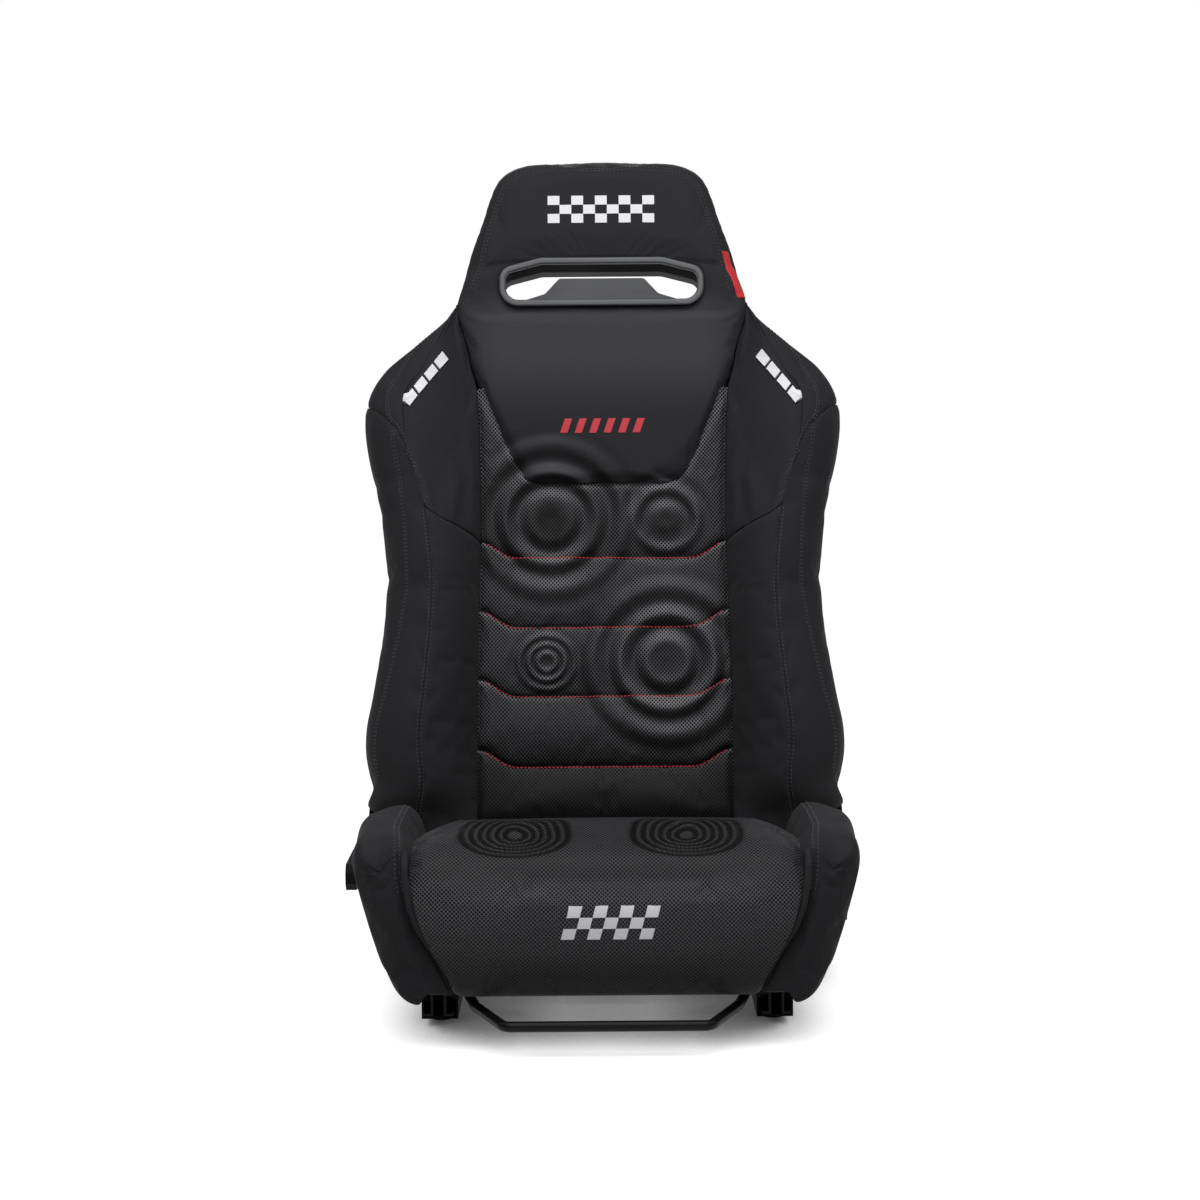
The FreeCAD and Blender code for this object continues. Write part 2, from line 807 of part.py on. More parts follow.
def thigh_profile(side, y, crest, outer, outer_height):
    # The inner face follows the cushion's side, the outer one slants in to the hem.
    gap = length("soft_gap") * 2

    def at(across, z):
        return Vector(side * across, y, z)

    bottom_half = length("cushion_bottom_half") + gap
    top_half = length("cushion_top_half") + gap
    knee = length("cushion_side_height")
    floor = cushion_floor.number
    pan_edge = length("pan_half_width") + 1.5
    hem = length("thigh_hem")
    hem_half = length("thigh_hem_half")
    crest_half = min(length("thigh_crest_half"), (top_half + outer) / 2)
    lean = (outer - hem_half) / (outer_height - hem)
    return edge_chain(
        [
            at(bottom_half, floor),
            ("line", at(pan_edge, floor)),
            ("line", at(pan_edge, hem)),
            ("line", at(hem_half - 8, hem)),
            ("arc", at(hem_half - 1, hem + 2), at(hem_half + 6 * lean, hem + 8)),
            ("line", at(outer - 18 * lean, outer_height - 24)),
            ("arc", at(outer, outer_height), at(outer - 9, outer_height + 16)),
            ("arc", at((crest_half + outer) / 2 + 3, crest - 3), at(crest_half, crest)),
            ("arc", at((crest_half + top_half) / 2 - 2, crest - 4), at(top_half, crest - 13)),
            ("line", at(top_half, knee + 6)),
            ("line", at(top_half - 3, knee)),
        ]
    )


nose = -length("thigh_nose")
rear_crest = length("thigh_crest") - length("thigh_rear_drop")
rear_half = length("thigh_rear_half")
# Stations front to back: Y, then the change in crest, outer half width and outer height
thigh_stations = [
    (nose, -10.0, -14.0, -8.0),
    (nose + 14, 0.0, -8.0, 0.0),
    (-length("cushion_crest_front") + 88, 0.0, 0.0, 0.0),
    (-60.0, -9.0, -1.0, -8.0),
    (0.0, -33.0, -9.0, -33.0),
]
for name, side in sides:
    wires = []
    for y, crest_change, outer_change, height_change in thigh_stations:
        crest = length("thigh_crest") + crest_change
        outer = length("thigh_outer_half") + outer_change
        height = length("thigh_outer_height") + height_change
        wires.append(thigh_profile(side, y, crest, outer, height))
    rear_y = length("cushion_shoulder_back")
    wires.append(thigh_profile(side, rear_y, rear_crest, rear_half, rear_crest - 22))
    keep(f"cushion_bolster_{name}", solid_feature(f"cushion_bolster_{name}", loft(wires)))

# Recliners: bracket and disc on the seat, plate with its boss on the backrest

pivot = (size("pivot_back"), size("pivot_height"))
plate_inner = size("frame_half_width") + size("frame_tube_radius")
plate_outer = plate_inner + size("plate_thick")
disc_inner = plate_outer + size("joint_gap")
disc_outer = disc_inner + size("disc_thick")
bracket_outer = disc_outer + size("plate_thick")
cover_inner = bracket_outer + size("cover_gap")
cover_outer = cover_inner + size("cover_depth")
lever_inner = cover_outer + size("lever_gap")
lever_outer = lever_inner + size("lever_thick")
bore_radius = size("shaft_radius") + size("shaft_play")

back_turn = Rotation(Vector(-1, 0, 0), length("recline_angle"))


def lean_back(obj):
    # Sets a piece drawn upright about the pivot onto the reclined back.
    place(obj, 0, pivot[0], pivot[1], back_turn)
    obj.setExpression("Placement.Rotation.Angle", "sizes.recline_angle")
    return obj


back_place = Placement(Vector(0, length("pivot_back"), length("pivot_height")), back_turn)

for name, side in sides:
    bracket = new_body(f"recliner_bracket_{name}")
    low, high = outward(side, disc_outer, bracket_outer)
    outline = [
        (foot_front, upper_top),
        (foot_rear, upper_top),
        (pivot[0] + size("bracket_radius") - 4, pivot[1] - 10),
        (pivot[0], pivot[1]),
        (pivot[0] - size("bracket_radius") + 4, pivot[1] - 10),
        (foot_front, upper_top + 20),
    ]
    add_feature(bracket, "YZ_Plane", low, high, outline)
    add_feature(bracket, "YZ_Plane", low, high, circles=[(pivot[0], pivot[1], size("bracket_radius"))])
    foot_low, foot_high = outward(side, web_inner, bracket_outer)
    outline = [(foot_low, foot_front), (foot_high, foot_front), (foot_high, foot_rear), (foot_low, foot_rear)]
    add_feature(bracket, "XY_Plane", upper_top, upper_top + size("rail_wall"), outline)
    bore = [(pivot[0], pivot[1], bore_radius)]
    add_feature(bracket, "YZ_Plane", low - 1, high + 1, circles=bore, remove=True)
    holes = [(side * rail_centre, spot, size("bolt_radius")) for spot in foot_bolts]
    holes_top = upper_top + size("rail_wall") + 1
    add_feature(bracket, "XY_Plane", upper_top - 1, holes_top, circles=holes, remove=True)
    keep(f"recliner_bracket_{name}", bracket)

    low, high = outward(side, disc_inner, disc_outer)
    disc = new_body(f"recliner_disc_{name}")
    add_feature(disc, "YZ_Plane", low, high, circles=[(pivot[0], pivot[1], size("disc_radius"))])
    recess = size("boss_radius") + size("shaft_play")
    near, far = outward(side, disc_inner - 1, disc_inner + size("boss_length") + size("joint_gap"))
    add_feature(disc, "YZ_Plane", near, far, circles=[(pivot[0], pivot[1], recess)], remove=True)
    add_feature(disc, "YZ_Plane", low - 1, high + 1, circles=bore, remove=True)
    keep(f"recliner_disc_{name}", disc)

    plate = new_body(f"recliner_plate_{name}")
    low, high = outward(side, plate_inner, plate_outer)
    half = size("frame_tube_radius") + 6
    middle = -size("frame_tube_radius") - 1.5
    top = size("frame_start") + 100
    outline = [(-16, 0), (16, 0), (-middle + half - 6, top), (-middle - half + 6, top)]
    add_feature(plate, "YZ_Plane", low, high, outline)
    add_feature(plate, "YZ_Plane", low, high, circles=[(0, 0, size("boss_radius") + 6)])
    near, far = outward(side, plate_outer, disc_inner + size("boss_length"))
    add_feature(plate, "YZ_Plane", near, far, circles=[(0, 0, size("boss_radius"))])
    low, high = outward(side, plate_inner - 1, disc_inner + size("boss_length") + 1)
    add_feature(plate, "YZ_Plane", low, high, circles=[(0, 0, size("shaft_radius") + 1.5)], remove=True)
    keep(f"recliner_plate_{name}", lean_back(plate))

    cover = new_body(f"recliner_cover_{name}")
    low, high = outward(side, cover_inner, cover_outer)
    step_low, step_high = outward(side, cover_inner, cover_outer - size("cover_step"))
    wall = size("cover_wall")
    radius = size("cover_radius")
    chamfer = size("cover_arm_chamfer")
    arm_outline = [
        (-size("cover_arm_front"), size("cover_arm_bottom") + chamfer),
        (-size("cover_arm_front") + chamfer, size("cover_arm_bottom")),
        (pivot[0] + 18, size("cover_arm_bottom")),
        (pivot[0] + radius - 8, pivot[1] - 18),
        (pivot[0] + radius - 12, pivot[1]),
        (pivot[0] - radius + 12, pivot[1]),
        (pivot[0] - radius - 8, size("cover_arm_top")),
        (-size("cover_arm_front") + chamfer, size("cover_arm_top")),
        (-size("cover_arm_front"), size("cover_arm_top") - chamfer),
    ]
    # Only the right cover runs forward over its bracket: the left one is a round cap.
    if side > 0:
        add_feature(cover, "YZ_Plane", step_low, step_high, arm_outline)
    add_feature(cover, "YZ_Plane", low, high, circles=[(pivot[0], pivot[1], radius)])
    hollow = [
        (-size("cover_arm_front") + wall, size("cover_arm_bottom") + chamfer + 1),
        (-size("cover_arm_front") + chamfer + 1, size("cover_arm_bottom") + wall),
        (pivot[0] + 16, size("cover_arm_bottom") + wall),
        (pivot[0] + radius - 12, pivot[1] - 18),
        (pivot[0] + radius - 16, pivot[1]),
        (pivot[0] - radius + 10, pivot[1]),
        (pivot[0] - radius - 10, size("cover_arm_top") - wall),
        (-size("cover_arm_front") + chamfer + 1, size("cover_arm_top") - wall),
        (-size("cover_arm_front") + wall, size("cover_arm_top") - chamfer - 1),
    ]
    low, high = outward(side, cover_inner - 1, cover_outer - size("cover_step") - wall)
    if side > 0:
        add_feature(cover, "YZ_Plane", low, high, hollow, remove=True)
    low, high = outward(side, cover_inner - 1, cover_outer - wall)
    add_feature(cover, "YZ_Plane", low, high, circles=[(pivot[0], pivot[1], radius - wall)], remove=True)
    low, high = outward(side, cover_inner - 1, cover_outer + 1)
    hole = [(pivot[0], pivot[1], size("shaft_radius") + 1.5)]
    add_feature(cover, "YZ_Plane", low, high, circles=hole, remove=True)
    keep(f"recliner_cover_{name}", cover)

bolt_heads = []
for name, side in sides:
    for index, spot in enumerate(foot_bolts):
        top = upper_top + size("rail_wall")
        place_of_head = (side * rail_centre, spot, top)
        head = rod(f"foot_head_{name}", size("head_radius"), size("head_height"), *place_of_head)
        shank_bottom = upper_top - size("rail_wall") - 1
        shank = rod(
            f"foot_shank_{name}",
            size("bolt_radius") - 0.1,
            top - shank_bottom + 1,
            side * rail_centre,
            spot,
            shank_bottom,
        )
        bolt_heads.append((head, shank))

# Recline lever on the left, with the shaft that turns both discs

lever = new_body("recline_lever")
hub = [(pivot[0], pivot[1], size("lever_hub_radius"))]
low, high = -lever_outer, -lever_inner
add_feature(lever, "YZ_Plane", low, high, circles=hub)
handle_tip = size("pivot_back") - size("lever_reach")
handle_root = handle_tip + size("lever_handle_length")
handle_middle = pivot[1] - size("lever_handle_drop")
handle_half = size("lever_handle_height") / 2
lever_outline = [
    (handle_tip + 8, handle_middle - handle_half),
    (handle_root, handle_middle - handle_half),
    (handle_root + 25, handle_middle - 6),
    (pivot[0], pivot[1] - 9),
    (pivot[0], pivot[1] + 9),
    (handle_root + 25, handle_middle + 14),
    (handle_root, handle_middle + handle_half),
    (handle_tip + 8, handle_middle + handle_half),
    (handle_tip, handle_middle + handle_half - 8),
    (handle_tip, handle_middle - handle_half + 8),
]
add_feature(lever, "YZ_Plane", low, high, lever_outline)
shaft_hole = [(pivot[0], pivot[1], size("shaft_radius"))]
add_feature(lever, "YZ_Plane", low + 3, high + 1, circles=shaft_hole, remove=True)
keep("recline_lever", lever)

shaft_end = cover_outer + 1.5
shaft_start = -lever_outer + 3
shaft_length = shaft_end - shaft_start
shaft = rod("shaft", size("shaft_radius"), shaft_length, shaft_start, pivot[0], pivot[1], along_x)
keep("recline_shaft", shaft)
knob = new_body("shaft_cap_body")
add_feature(knob, "YZ_Plane", cover_outer + 0.6, cover_outer + 7, circles=hub)
add_feature(knob, "YZ_Plane", cover_outer - 1, shaft_end, circles=shaft_hole, remove=True)
keep("shaft_cap", knob)

# Backrest frame: one bent tube, two cross tubes and a support board

tube_depth = size("frame_tube_radius") + size("board_thick") - 0.5
tube_y = tube_depth.number
half_width = length("frame_half_width")
frame_points = [
    Vector(-half_width, tube_y, length("frame_start")),
    Vector(-half_width, tube_y, length("frame_bend")),
    Vector(-length("neck_tube_half"), tube_y, length("neck_tube_height")),
    Vector(-length("head_tube_half"), tube_y, length("head_tube_height")),
]
frame_points += [Vector(-point.x, point.y, point.z) for point in reversed(frame_points)]
frame_shape = bent_tube(frame_points, length("frame_tube_radius"), length("frame_bend_radius"))
for height in (length("cross_tube_low"), length("cross_tube_high")):
    spans = half_width - 4 if height < length("frame_bend") else half_width - 14
    cross_start = Vector(-spans, tube_y, height)
    cross_radius = length("frame_tube_radius") - 2
    cross = Part.makeCylinder(cross_radius, 2 * spans, cross_start, Vector(1, 0, 0))
    frame_shape = frame_shape.fuse(cross)
keep("back_frame", solid_feature("back_frame", frame_shape, back_place))

board = new_body("support_board_body")
board_half = size("frame_half_width") + size("frame_tube_radius") - 12
board_front = measure(-0.5)
outline = [
    (-board_half, size("board_low")),
    (board_half, size("board_low")),
    (board_half, size("board_high")),
    (-board_half, size("board_high")),
]
add_feature(board, "XZ_Plane", board_front, board_front + size("board_thick"), outline)
keep("support_board", lean_back(board))

# Backrest outline and pads, in the back's own upright plane


def blend(a, b, share):
    # Smooth step from a to b.
    return a + (b - a) * share * share * (3 - 2 * share)


def back_half(height):
    # Half the backrest's width at a height above the pivot.
    if height <= length("flare_height"):
        share = (height - length("hem_height")) / (length("flare_height") - length("hem_height"))
        swell = math.sin(max(share, 0.0) * math.pi / 2)
        return length("hem_half") + (length("flare_half") - length("hem_half")) * swell
    if height <= length("waist_height"):
        share = (height - length("flare_height")) / (length("waist_height") - length("flare_height"))
        return blend(length("flare_half"), length("waist_half"), share)
    if height <= length("shoulder_height"):
        share = (height - length("waist_height")) / (length("shoulder_height") - length("waist_height"))
        return blend(length("waist_half"), length("shoulder_half"), share)
    if height <= length("neck_height"):
        span = length("neck_height") - length("shoulder_height")
        share = (height - length("shoulder_height")) / span
        pull = share * share * (share - 1) * span * -length("neck_slope")
        return blend(length("shoulder_half"), length("neck_half"), share) + pull
    share = (height - length("neck_height")) / (length("head_top") - length("neck_height"))
    return length("neck_half") + (length("head_side_half") - length("neck_half")) * min(share * 1.27, 1.0)


def crest_rise(height):
    # How far the side bolster's crest stands forward of the frame plane.
    if height < length("flare_height"):
        share = (height - length("hem_height")) / (length("flare_height") - length("hem_height"))
        lift = math.sin(max(share, 0.0) * math.pi / 2)
        return length("hem_rise") + (length("crest_rise") - length("hem_rise")) * lift
    if height < length("waist_height"):
        return length("crest_rise")
    if height < length("shoulder_height"):
        share = (height - length("waist_height")) / (length("shoulder_height") - length("waist_height"))
        return blend(length("crest_rise"), length("shoulder_rise"), share)
    share = (height - length("shoulder_height")) / (length("wing_top") - length("shoulder_height"))
    return length("shoulder_rise") + (length("wing_rise") - length("shoulder_rise")) * share


def tongue_half(height):
    # The upper panel's half width, from its knee up to the neck.
    span = length("neck_height") - length("tongue_knee")
    share = (height - length("tongue_knee")) / span
    return length("tongue_knee_half") + (length("neck_half") - 2 - length("tongue_knee_half")) * share


def bolster_profile(side, height):
    # Section of a side bolster: inner face up from the pad, rounded crest, full outer side.
    def at(across, rise):
        return Vector(side * across, -rise, height)

    gap = length("soft_gap")
    back = length("back_gap")
    inner = length("pad_half_width") + gap
    if height > length("pad_top") - 20:
        inner = max(inner, tongue_half(height) + 2 * gap + 1)
    outer = back_half(height)
    crest = crest_rise(height)
    edge = length("pad_thick") + length("pad_edge_rise")
    inset = min(length("crest_inset"), (outer - inner) * 0.5)
    peak = outer - inset
    run = (peak - inner) * 0.25
    return edge_chain(
        [
            at(inner, back),
            ("line", at(inner, edge)),
            ("arc", at((inner + peak) / 2 - run * 0.4, (edge + crest) / 2 - 4), at(peak - run, crest - 5)),
            ("arc", at(peak - run * 0.2, crest - 0.6), at(peak + inset * 0.22, crest - 2.5)),
            ("arc", at(outer - inset * 0.18, crest * 0.78), at(outer, crest * 0.42)),
            ("arc", at(outer - 0.6, crest * 0.2), at(outer - 3, back)),
        ]
    )


def pivot_clearance(side):
    # Room for the recliner cover's head and for the recliner plate.
    radius = length("fold_clearance")
    start = plate_outer.number
    reach = 70.0
    base = Vector(start if side > 0 else -start - reach, 0, 0)
    round_room = Part.makeCylinder(radius, reach, base, Vector(1, 0, 0))
    low, high = (plate_inner.number - 1, plate_outer.number + 1)
    low, high = (low, high) if side > 0 else (-high, -low)
    slot_top = length("frame_start") + 104
    slot = Part.makeBox(high - low, 60, slot_top + 40, Vector(low, -32, -40))
    return round_room.fuse(slot)


lower_heights = [
    length("hem_height"),
    length("hem_height") + 16,
    (length("hem_height") + length("flare_height")) / 2 + 8,
    length("flare_height"),
    (length("flare_height") + length("waist_height")) / 2,
    length("waist_height"),
    (length("waist_height") + length("wing_seam")) / 2,
    length("wing_seam"),
]
wing_start = length("wing_seam") + length("soft_gap")
wing_heights = [
    wing_start,
    length("shoulder_height"),
    length("pad_top") - 20,
    length("pad_top") + 6,
    (length("pad_top") + length("wing_top")) / 2,
    length("wing_top") - 12,
    length("wing_top"),
]
for name, side in sides:
    lower = loft([bolster_profile(side, height) for height in lower_heights])
    lower = lower.cut(pivot_clearance(side))
    keep(f"side_bolster_{name}", solid_feature(f"side_bolster_{name}", lower, back_place))
    wing = loft([bolster_profile(side, height) for height in wing_heights])
    keep(f"shoulder_pad_{name}", solid_feature(f"shoulder_pad_{name}", wing, back_place))


def pad_profile(across, edge):
    # Channelled front of the centre pad; edge runs from 0 in the middle to 1 at the sides.
    def at(height, rise):
        return Vector(across, -rise, height)

    back = length("back_gap")
    base = length("pad_thick") + length("pad_edge_rise") * edge
    lowest = length("channel_first") + length("channel_tip") * edge
    seams = [lowest + length("channel_pitch") * k for k in range(4)]
    stops = [length("hem_height") + 10] + seams + [length("pad_top")]
    steps = [at(stops[0], back), ("line", at(stops[0], base - 14))]
    here = stops[0]
    for index, stop in enumerate(stops[1:]):
        puff = length("pad_puff") * (1 - 0.3 * edge)
        if index == 0:
            puff -= 2
        steps.append(("arc", at((here + stop) / 2, base + puff), at(stop, base)))
        here = stop
    steps.append(("line", at(here, back)))
    return edge_chain(steps)


def tongue_outline(grow, rise):
    # The upper panel's outline, grown or drawn in, at one rise above the frame plane.
    top = length("neck_height") - length("soft_gap")
    corners = [
        (length("neck_half") - 2 + grow, top),
        (length("tongue_knee_half") + grow, length("tongue_knee")),
        (length("tongue_tip_half") + grow * 0.6, length("tongue_tip") - grow),
    ]
    if grow < 0:
        corners[0] = (corners[0][0], top + grow)
    points = [Vector(across, -rise, height) for across, height in corners]
    points += [Vector(-point.x, point.y, point.z) for point in reversed(points)]
    return Part.makePolygon(points + [points[0]])


pad_half = length("pad_half_width")
pad_bend = pad_half * 0.74
pad_stations = [(-pad_half, 1.0), (-pad_bend, 0.25), (0.0, 0.0), (pad_bend, 0.25), (pad_half, 1.0)]
centre_shape = loft([pad_profile(across, edge) for across, edge in pad_stations])
tongue_room = loft([tongue_outline(length("soft_gap"), rise) for rise in (-5.0, 90.0)])
centre_shape = centre_shape.cut(tongue_room)
unit_pocket = length("unit_thick") + length("unit_gap")
unit_spots = [
    (side * length("unit_half_spacing"), height)
    for height in (length("unit_low"), length("unit_high"))
    for side in (-1, 1)
]
for across, height in unit_spots:
    base = Vector(across, 1.0, height)
    centre_shape = centre_shape.cut(Part.makeCylinder(pocket_radius, unit_pocket + 1, base, Vector(0, -1, 0)))
keep("centre_pad", solid_feature("centre_pad", centre_shape, back_place))

tongue_thick = length("tongue_thick")
# Each step: how far the outline is drawn in, and its rise above the frame plane
tongue_steps = [
    (0.0, length("back_gap")),
    (0.0, tongue_thick - 12),
    (-4.0, tongue_thick - 5),
    (-12.0, tongue_thick - 1),
    (-30.0, tongue_thick),
]
upper_shape = loft([tongue_outline(grow, rise) for grow, rise in tongue_steps])
keep("upper_panel", solid_feature("upper_panel", upper_shape, back_place))


def opening_outline(grow, rise):
    # The head opening: flat middle, sloped shoulders and round ends, drawn larger by grow.
    low = length("opening_low") - grow
    high = length("opening_high") + grow
    shoulder_z = high - length("opening_shoulder_drop")
    middle = (low + shoulder_z) / 2
    half = length("opening_half") + grow
    flat = length("opening_flat_half")
    shoulder = length("opening_shoulder_half")
    floor = length("opening_floor_half")

    def at(across, height):
        return Vector(across, -rise, height)

    return edge_chain(
        [
            at(-floor, low),
            ("line", at(floor, low)),
            ("arc", at(half - 5, low + (middle - low) * 0.42), at(half, middle)),
            ("arc", at(half - 4.5, shoulder_z - (shoulder_z - middle) * 0.38), at(shoulder, shoulder_z)),
            ("line", at(flat, high)),
            ("line", at(-flat, high)),
            ("line", at(-shoulder, shoulder_z)),
            ("arc", at(-half + 4.5, shoulder_z - (shoulder_z - middle) * 0.38), at(-half, middle)),
            ("arc", at(-half + 5, low + (middle - low) * 0.42), at(-floor, low)),
        ]
    )


def opening_prism(grow, near, far):
    return loft([opening_outline(grow, near), opening_outline(grow, far)])


def head_outline(inset, rise):
    # The head pad's front outline, drawn in by inset.
    low = length("neck_height") - 5 + length("soft_gap") + inset
    side_top = length("head_top") - length("head_corner_drop")
    top = length("head_top") - inset
    low_half = back_half(low) - inset
    side_half = length("head_side_half") - inset
    flat = length("head_top_half")

    def at(across, height):
        return Vector(across, -rise, height)

    corner = (side_half * 0.45 + flat * 0.55 + 11, top - length("head_corner_drop") * 0.3)
    return edge_chain(
        [
            at(-low_half, low),
            ("line", at(low_half, low)),
            ("line", at(side_half, side_top)),
            ("arc", at(*corner), at(flat, top - 2)),
            ("arc", at(0, top + 2), at(-flat, top - 2)),
            ("arc", at(-corner[0], corner[1]), at(-side_half, side_top)),
        ]
    )


head_thick = length("head_thick")
head_steps = [
    (2.0, length("back_gap")),
    (0.0, 8.0),
    (0.0, head_thick - 16),
    (4.0, head_thick - 6),
    (12.0, head_thick - 1),
    (26.0, head_thick),
]
head_shape = loft([head_outline(inset, rise) for inset, rise in head_steps])
head_floor = Part.makeBox(500, 120, 60, Vector(-250, -110, length("neck_height") + length("soft_gap") - 60))
head_shape = head_shape.cut(head_floor)
head_shape = head_shape.cut(opening_prism(length("soft_gap"), -10.0, 90.0))
keep("headrest_pad", solid_feature("headrest_pad", head_shape, back_place))

# Backrest shell: sections up the back, hollowed from the front


def shell_depth_at(height):
    if height < length("shell_taper_start"):
        return length("shell_depth")
    share = min((height - length("shell_taper_start")) / length("shell_taper"), 1.0)
    return blend(length("shell_depth"), length("shell_head_depth"), share)


def shell_section(height, half, depth, front):
    # Flat back with round sides that run forward to the open front.
    round_in = min(depth * 0.9, 46.0)

    def at(across, back):
        return Vector(across, back, height)

    return edge_chain(
        [
            at(-half, front),
            ("line", at(half, front)),
            ("line", at(half - 1, depth * 0.35)),
            ("arc", at(half - round_in * 0.28, depth * 0.8), at(half - round_in, depth)),
            ("line", at(-half + round_in, depth)),
            ("arc", at(-half + round_in * 0.28, depth * 0.8), at(-half + 1, depth * 0.35)),
        ]
    )


shell_wall = length("shell_wall")
shell_top = length("head_top") - length("shell_inset")
# Stations up the back, closer together where the outline or the depth bends
shell_heights = [
    length("hem_height"),
    60.0,
    length("flare_height"),
    200.0,
    length("waist_height"),
    400.0,
    length("shell_taper_start"),
    length("shoulder_height"),
    540.0,
    575.0,
    length("shell_taper_start") + length("shell_taper"),
    length("neck_height"),
    700.0,
    length("head_top") - length("head_corner_drop"),
]
# The crown: height, and how far the sides are drawn in there
crown_heights = [(length("head_top") - 20, 10.0), (shell_top, 34.0)]


def shell_solid(shrink, front):
    wires = []
    for index, height in enumerate(shell_heights):
        if index == 0:
            height += shrink
        half = back_half(height) - length("shell_inset") - shrink
        wires.append(shell_section(height, half, shell_depth_at(height) - shrink, front))
    for height, draw_in in crown_heights:
        half = length("head_side_half") - length("shell_inset") - draw_in - shrink
        depth = length("shell_head_depth") - shrink
        wires.append(shell_section(height - shrink, half, depth, front))
    return loft(wires)


shell_shape = shell_solid(0.0, 0.0).cut(shell_solid(shell_wall, -4.0))
shell_shape = shell_shape.cut(opening_prism(length("soft_gap"), -90.0, 20.0))
for side in (-1, 1):
    shell_shape = shell_shape.cut(pivot_clearance(side))
keep("back_shell", solid_feature("back_shell", shell_shape, back_place))

# Head opening: two flanged sleeves that meet inside, and a guide plate

opening_middle = -2.0
bezel_face = head_thick + length("bezel_proud")
shell_face = -length("shell_head_depth")
rear_face = shell_face - length("bezel_proud")
bezel_wall = length("bezel_wall")
bezel_width = length("bezel_width")

front_sleeve = opening_prism(0.0, opening_middle, bezel_face)
front_sleeve = front_sleeve.cut(opening_prism(-bezel_wall, opening_middle - 5, bezel_face + 5))
front_lip = opening_prism(0.0, head_thick + 0.3, bezel_face)
front_lip = front_lip.cut(opening_prism(-bezel_width, head_thick - 5, bezel_face + 5))
front_bezel = front_sleeve.fuse(front_lip)
keep("opening_bezel_front", solid_feature("opening_bezel_front", front_bezel, back_place))

rear_sleeve = opening_prism(0.0, rear_face, opening_middle - 0.2)
rear_sleeve = rear_sleeve.cut(opening_prism(-bezel_wall, rear_face - 5, opening_middle + 5))
rear_lip = opening_prism(bezel_width, rear_face, shell_face - 0.3)
rear_lip = rear_lip.cut(opening_prism(-bezel_wall, rear_face - 5, shell_face + 5))
rear_bezel = rear_sleeve.fuse(rear_lip)
keep("opening_bezel_rear", solid_feature("opening_bezel_rear", rear_bezel, back_place))

guide_base = length("opening_low") + bezel_wall + 0.3
guide_top = guide_base + length("guide_rise") - bezel_wall
guide_front = head_thick - 8
guide_rear = guide_front - length("guide_thick")


def guide_outline(rise):
    # Raised in the middle and sloped down to both sides.
    half = length("guide_half")
    floor = length("opening_floor_half") - 4
    rising = [
        (floor, guide_base),
        (floor - 2, guide_base + 4),
        (half + 16, guide_base + 8),
        (half, guide_top),
    ]
    corners = rising + [(-across, height) for across, height in reversed(rising)]
    points = [Vector(across, -rise, height) for across, height in corners]
    return Part.makePolygon(points + [points[0]])


guide_shape = loft([guide_outline(guide_rear), guide_outline(guide_front)])
keep("opening_guide", solid_feature("opening_guide", guide_shape, back_place))

# Side tag sewn into the head pad's right edge



def head_side(height):
    # The head pad's half width along its straight side.
    low = length("neck_height") - 5 + length("soft_gap")
    top = length("head_top") - length("head_corner_drop")
    share = (height - low) / (top - low)
    return back_half(low) + (length("head_side_half") - back_half(low)) * share


low_z = length("tag_low")
high_z = length("tag_high")
low_x = head_side(low_z) + length("joint_gap")
high_x = head_side(high_z) + length("joint_gap")
thick = length("tag_thick")
tag_corners = [(low_x, low_z), (low_x + thick, low_z), (high_x + thick, high_z), (high_x, high_z)]
tag_wires = []
for rise in (head_thick - 18 - length("tag_width"), head_thick - 18):
    points = [Vector(across, -rise, height) for across, height in tag_corners]
    tag_wires.append(Part.makePolygon(points + [points[0]]))
keep("side_tag", solid_feature("side_tag", loft(tag_wires), back_place))

# Vibration units: four on the support board, two on posts in the seat cushion

back_units = []
for across, height in unit_spots:
    base = Vector(across, board_front.number, height)
    thick = length("unit_thick")
    back_units.append(Part.makeCylinder(length("unit_radius"), thick, base, Vector(0, -1, 0)))
keep("back_vibration_units", solid_feature("back_vibration_units", Part.makeCompound(back_units), back_place))

seat_units = []
unit_posts = []
for name, side in sides:
    spot = (side * size("seat_unit_half_spacing"), -size("seat_unit_front"))
    low = size("seat_unit_height")
    seat_units.append(rod(f"seat_unit_{name}", size("unit_radius"), size("unit_thick"), *spot, low))
    unit_posts.append(rod(f"unit_post_{name}", size("seat_unit_post"), low - pan_top, *spot, pan_top))
keep("seat_vibration_units", group("seat_units_group", seat_units))
keep("unit_posts", group("unit_posts_group", unit_posts))

# Control box under the pan, with its two cable sockets

box_top = pan_bottom
box_bottom = box_top - size("box_height")
half = size("box_length") / 2
case_front = measure(10)
case_rear = case_front + size("box_depth")
case = box("case", (-half, half), (case_front, case_rear), (box_bottom, box_top))
wall = size("box_wall")
room_z = (box_bottom + wall, box_top + 1)
room = box("case_room", (wall - half, half - wall), (case_front + wall, case_rear - wall), room_z)
outlets = []
sockets = []
for spot in (-1, 1):
    spot_x = spot * size("box_length") / 4
    spot_z = box_bottom + size("box_height") / 2
    hole = (spot_x, case_rear - wall - 1, spot_z, along_y)
    outlets.append(rod(f"outlet_{spot}", size("socket_radius") + 0.1, wall + 2, *hole))
    inside = (spot_x, case_rear - wall - 3, spot_z, along_y)
    outer = rod(f"socket_{spot}", size("socket_radius"), wall + 6, *inside)
    mouth = (spot_x, case_rear - wall, spot_z, along_y)
    inner = rod(f"socket_bore_{spot}", size("socket_radius") / 2, wall + 6, *mouth)
    sockets.append(cut(f"socket_ring_{spot}", outer, inner))
keep("control_box", holed("control_box_shell", case, [room] + outlets))
keep("box_sockets", group("box_sockets_group", sockets))
board_bottom = box_bottom + wall + 3
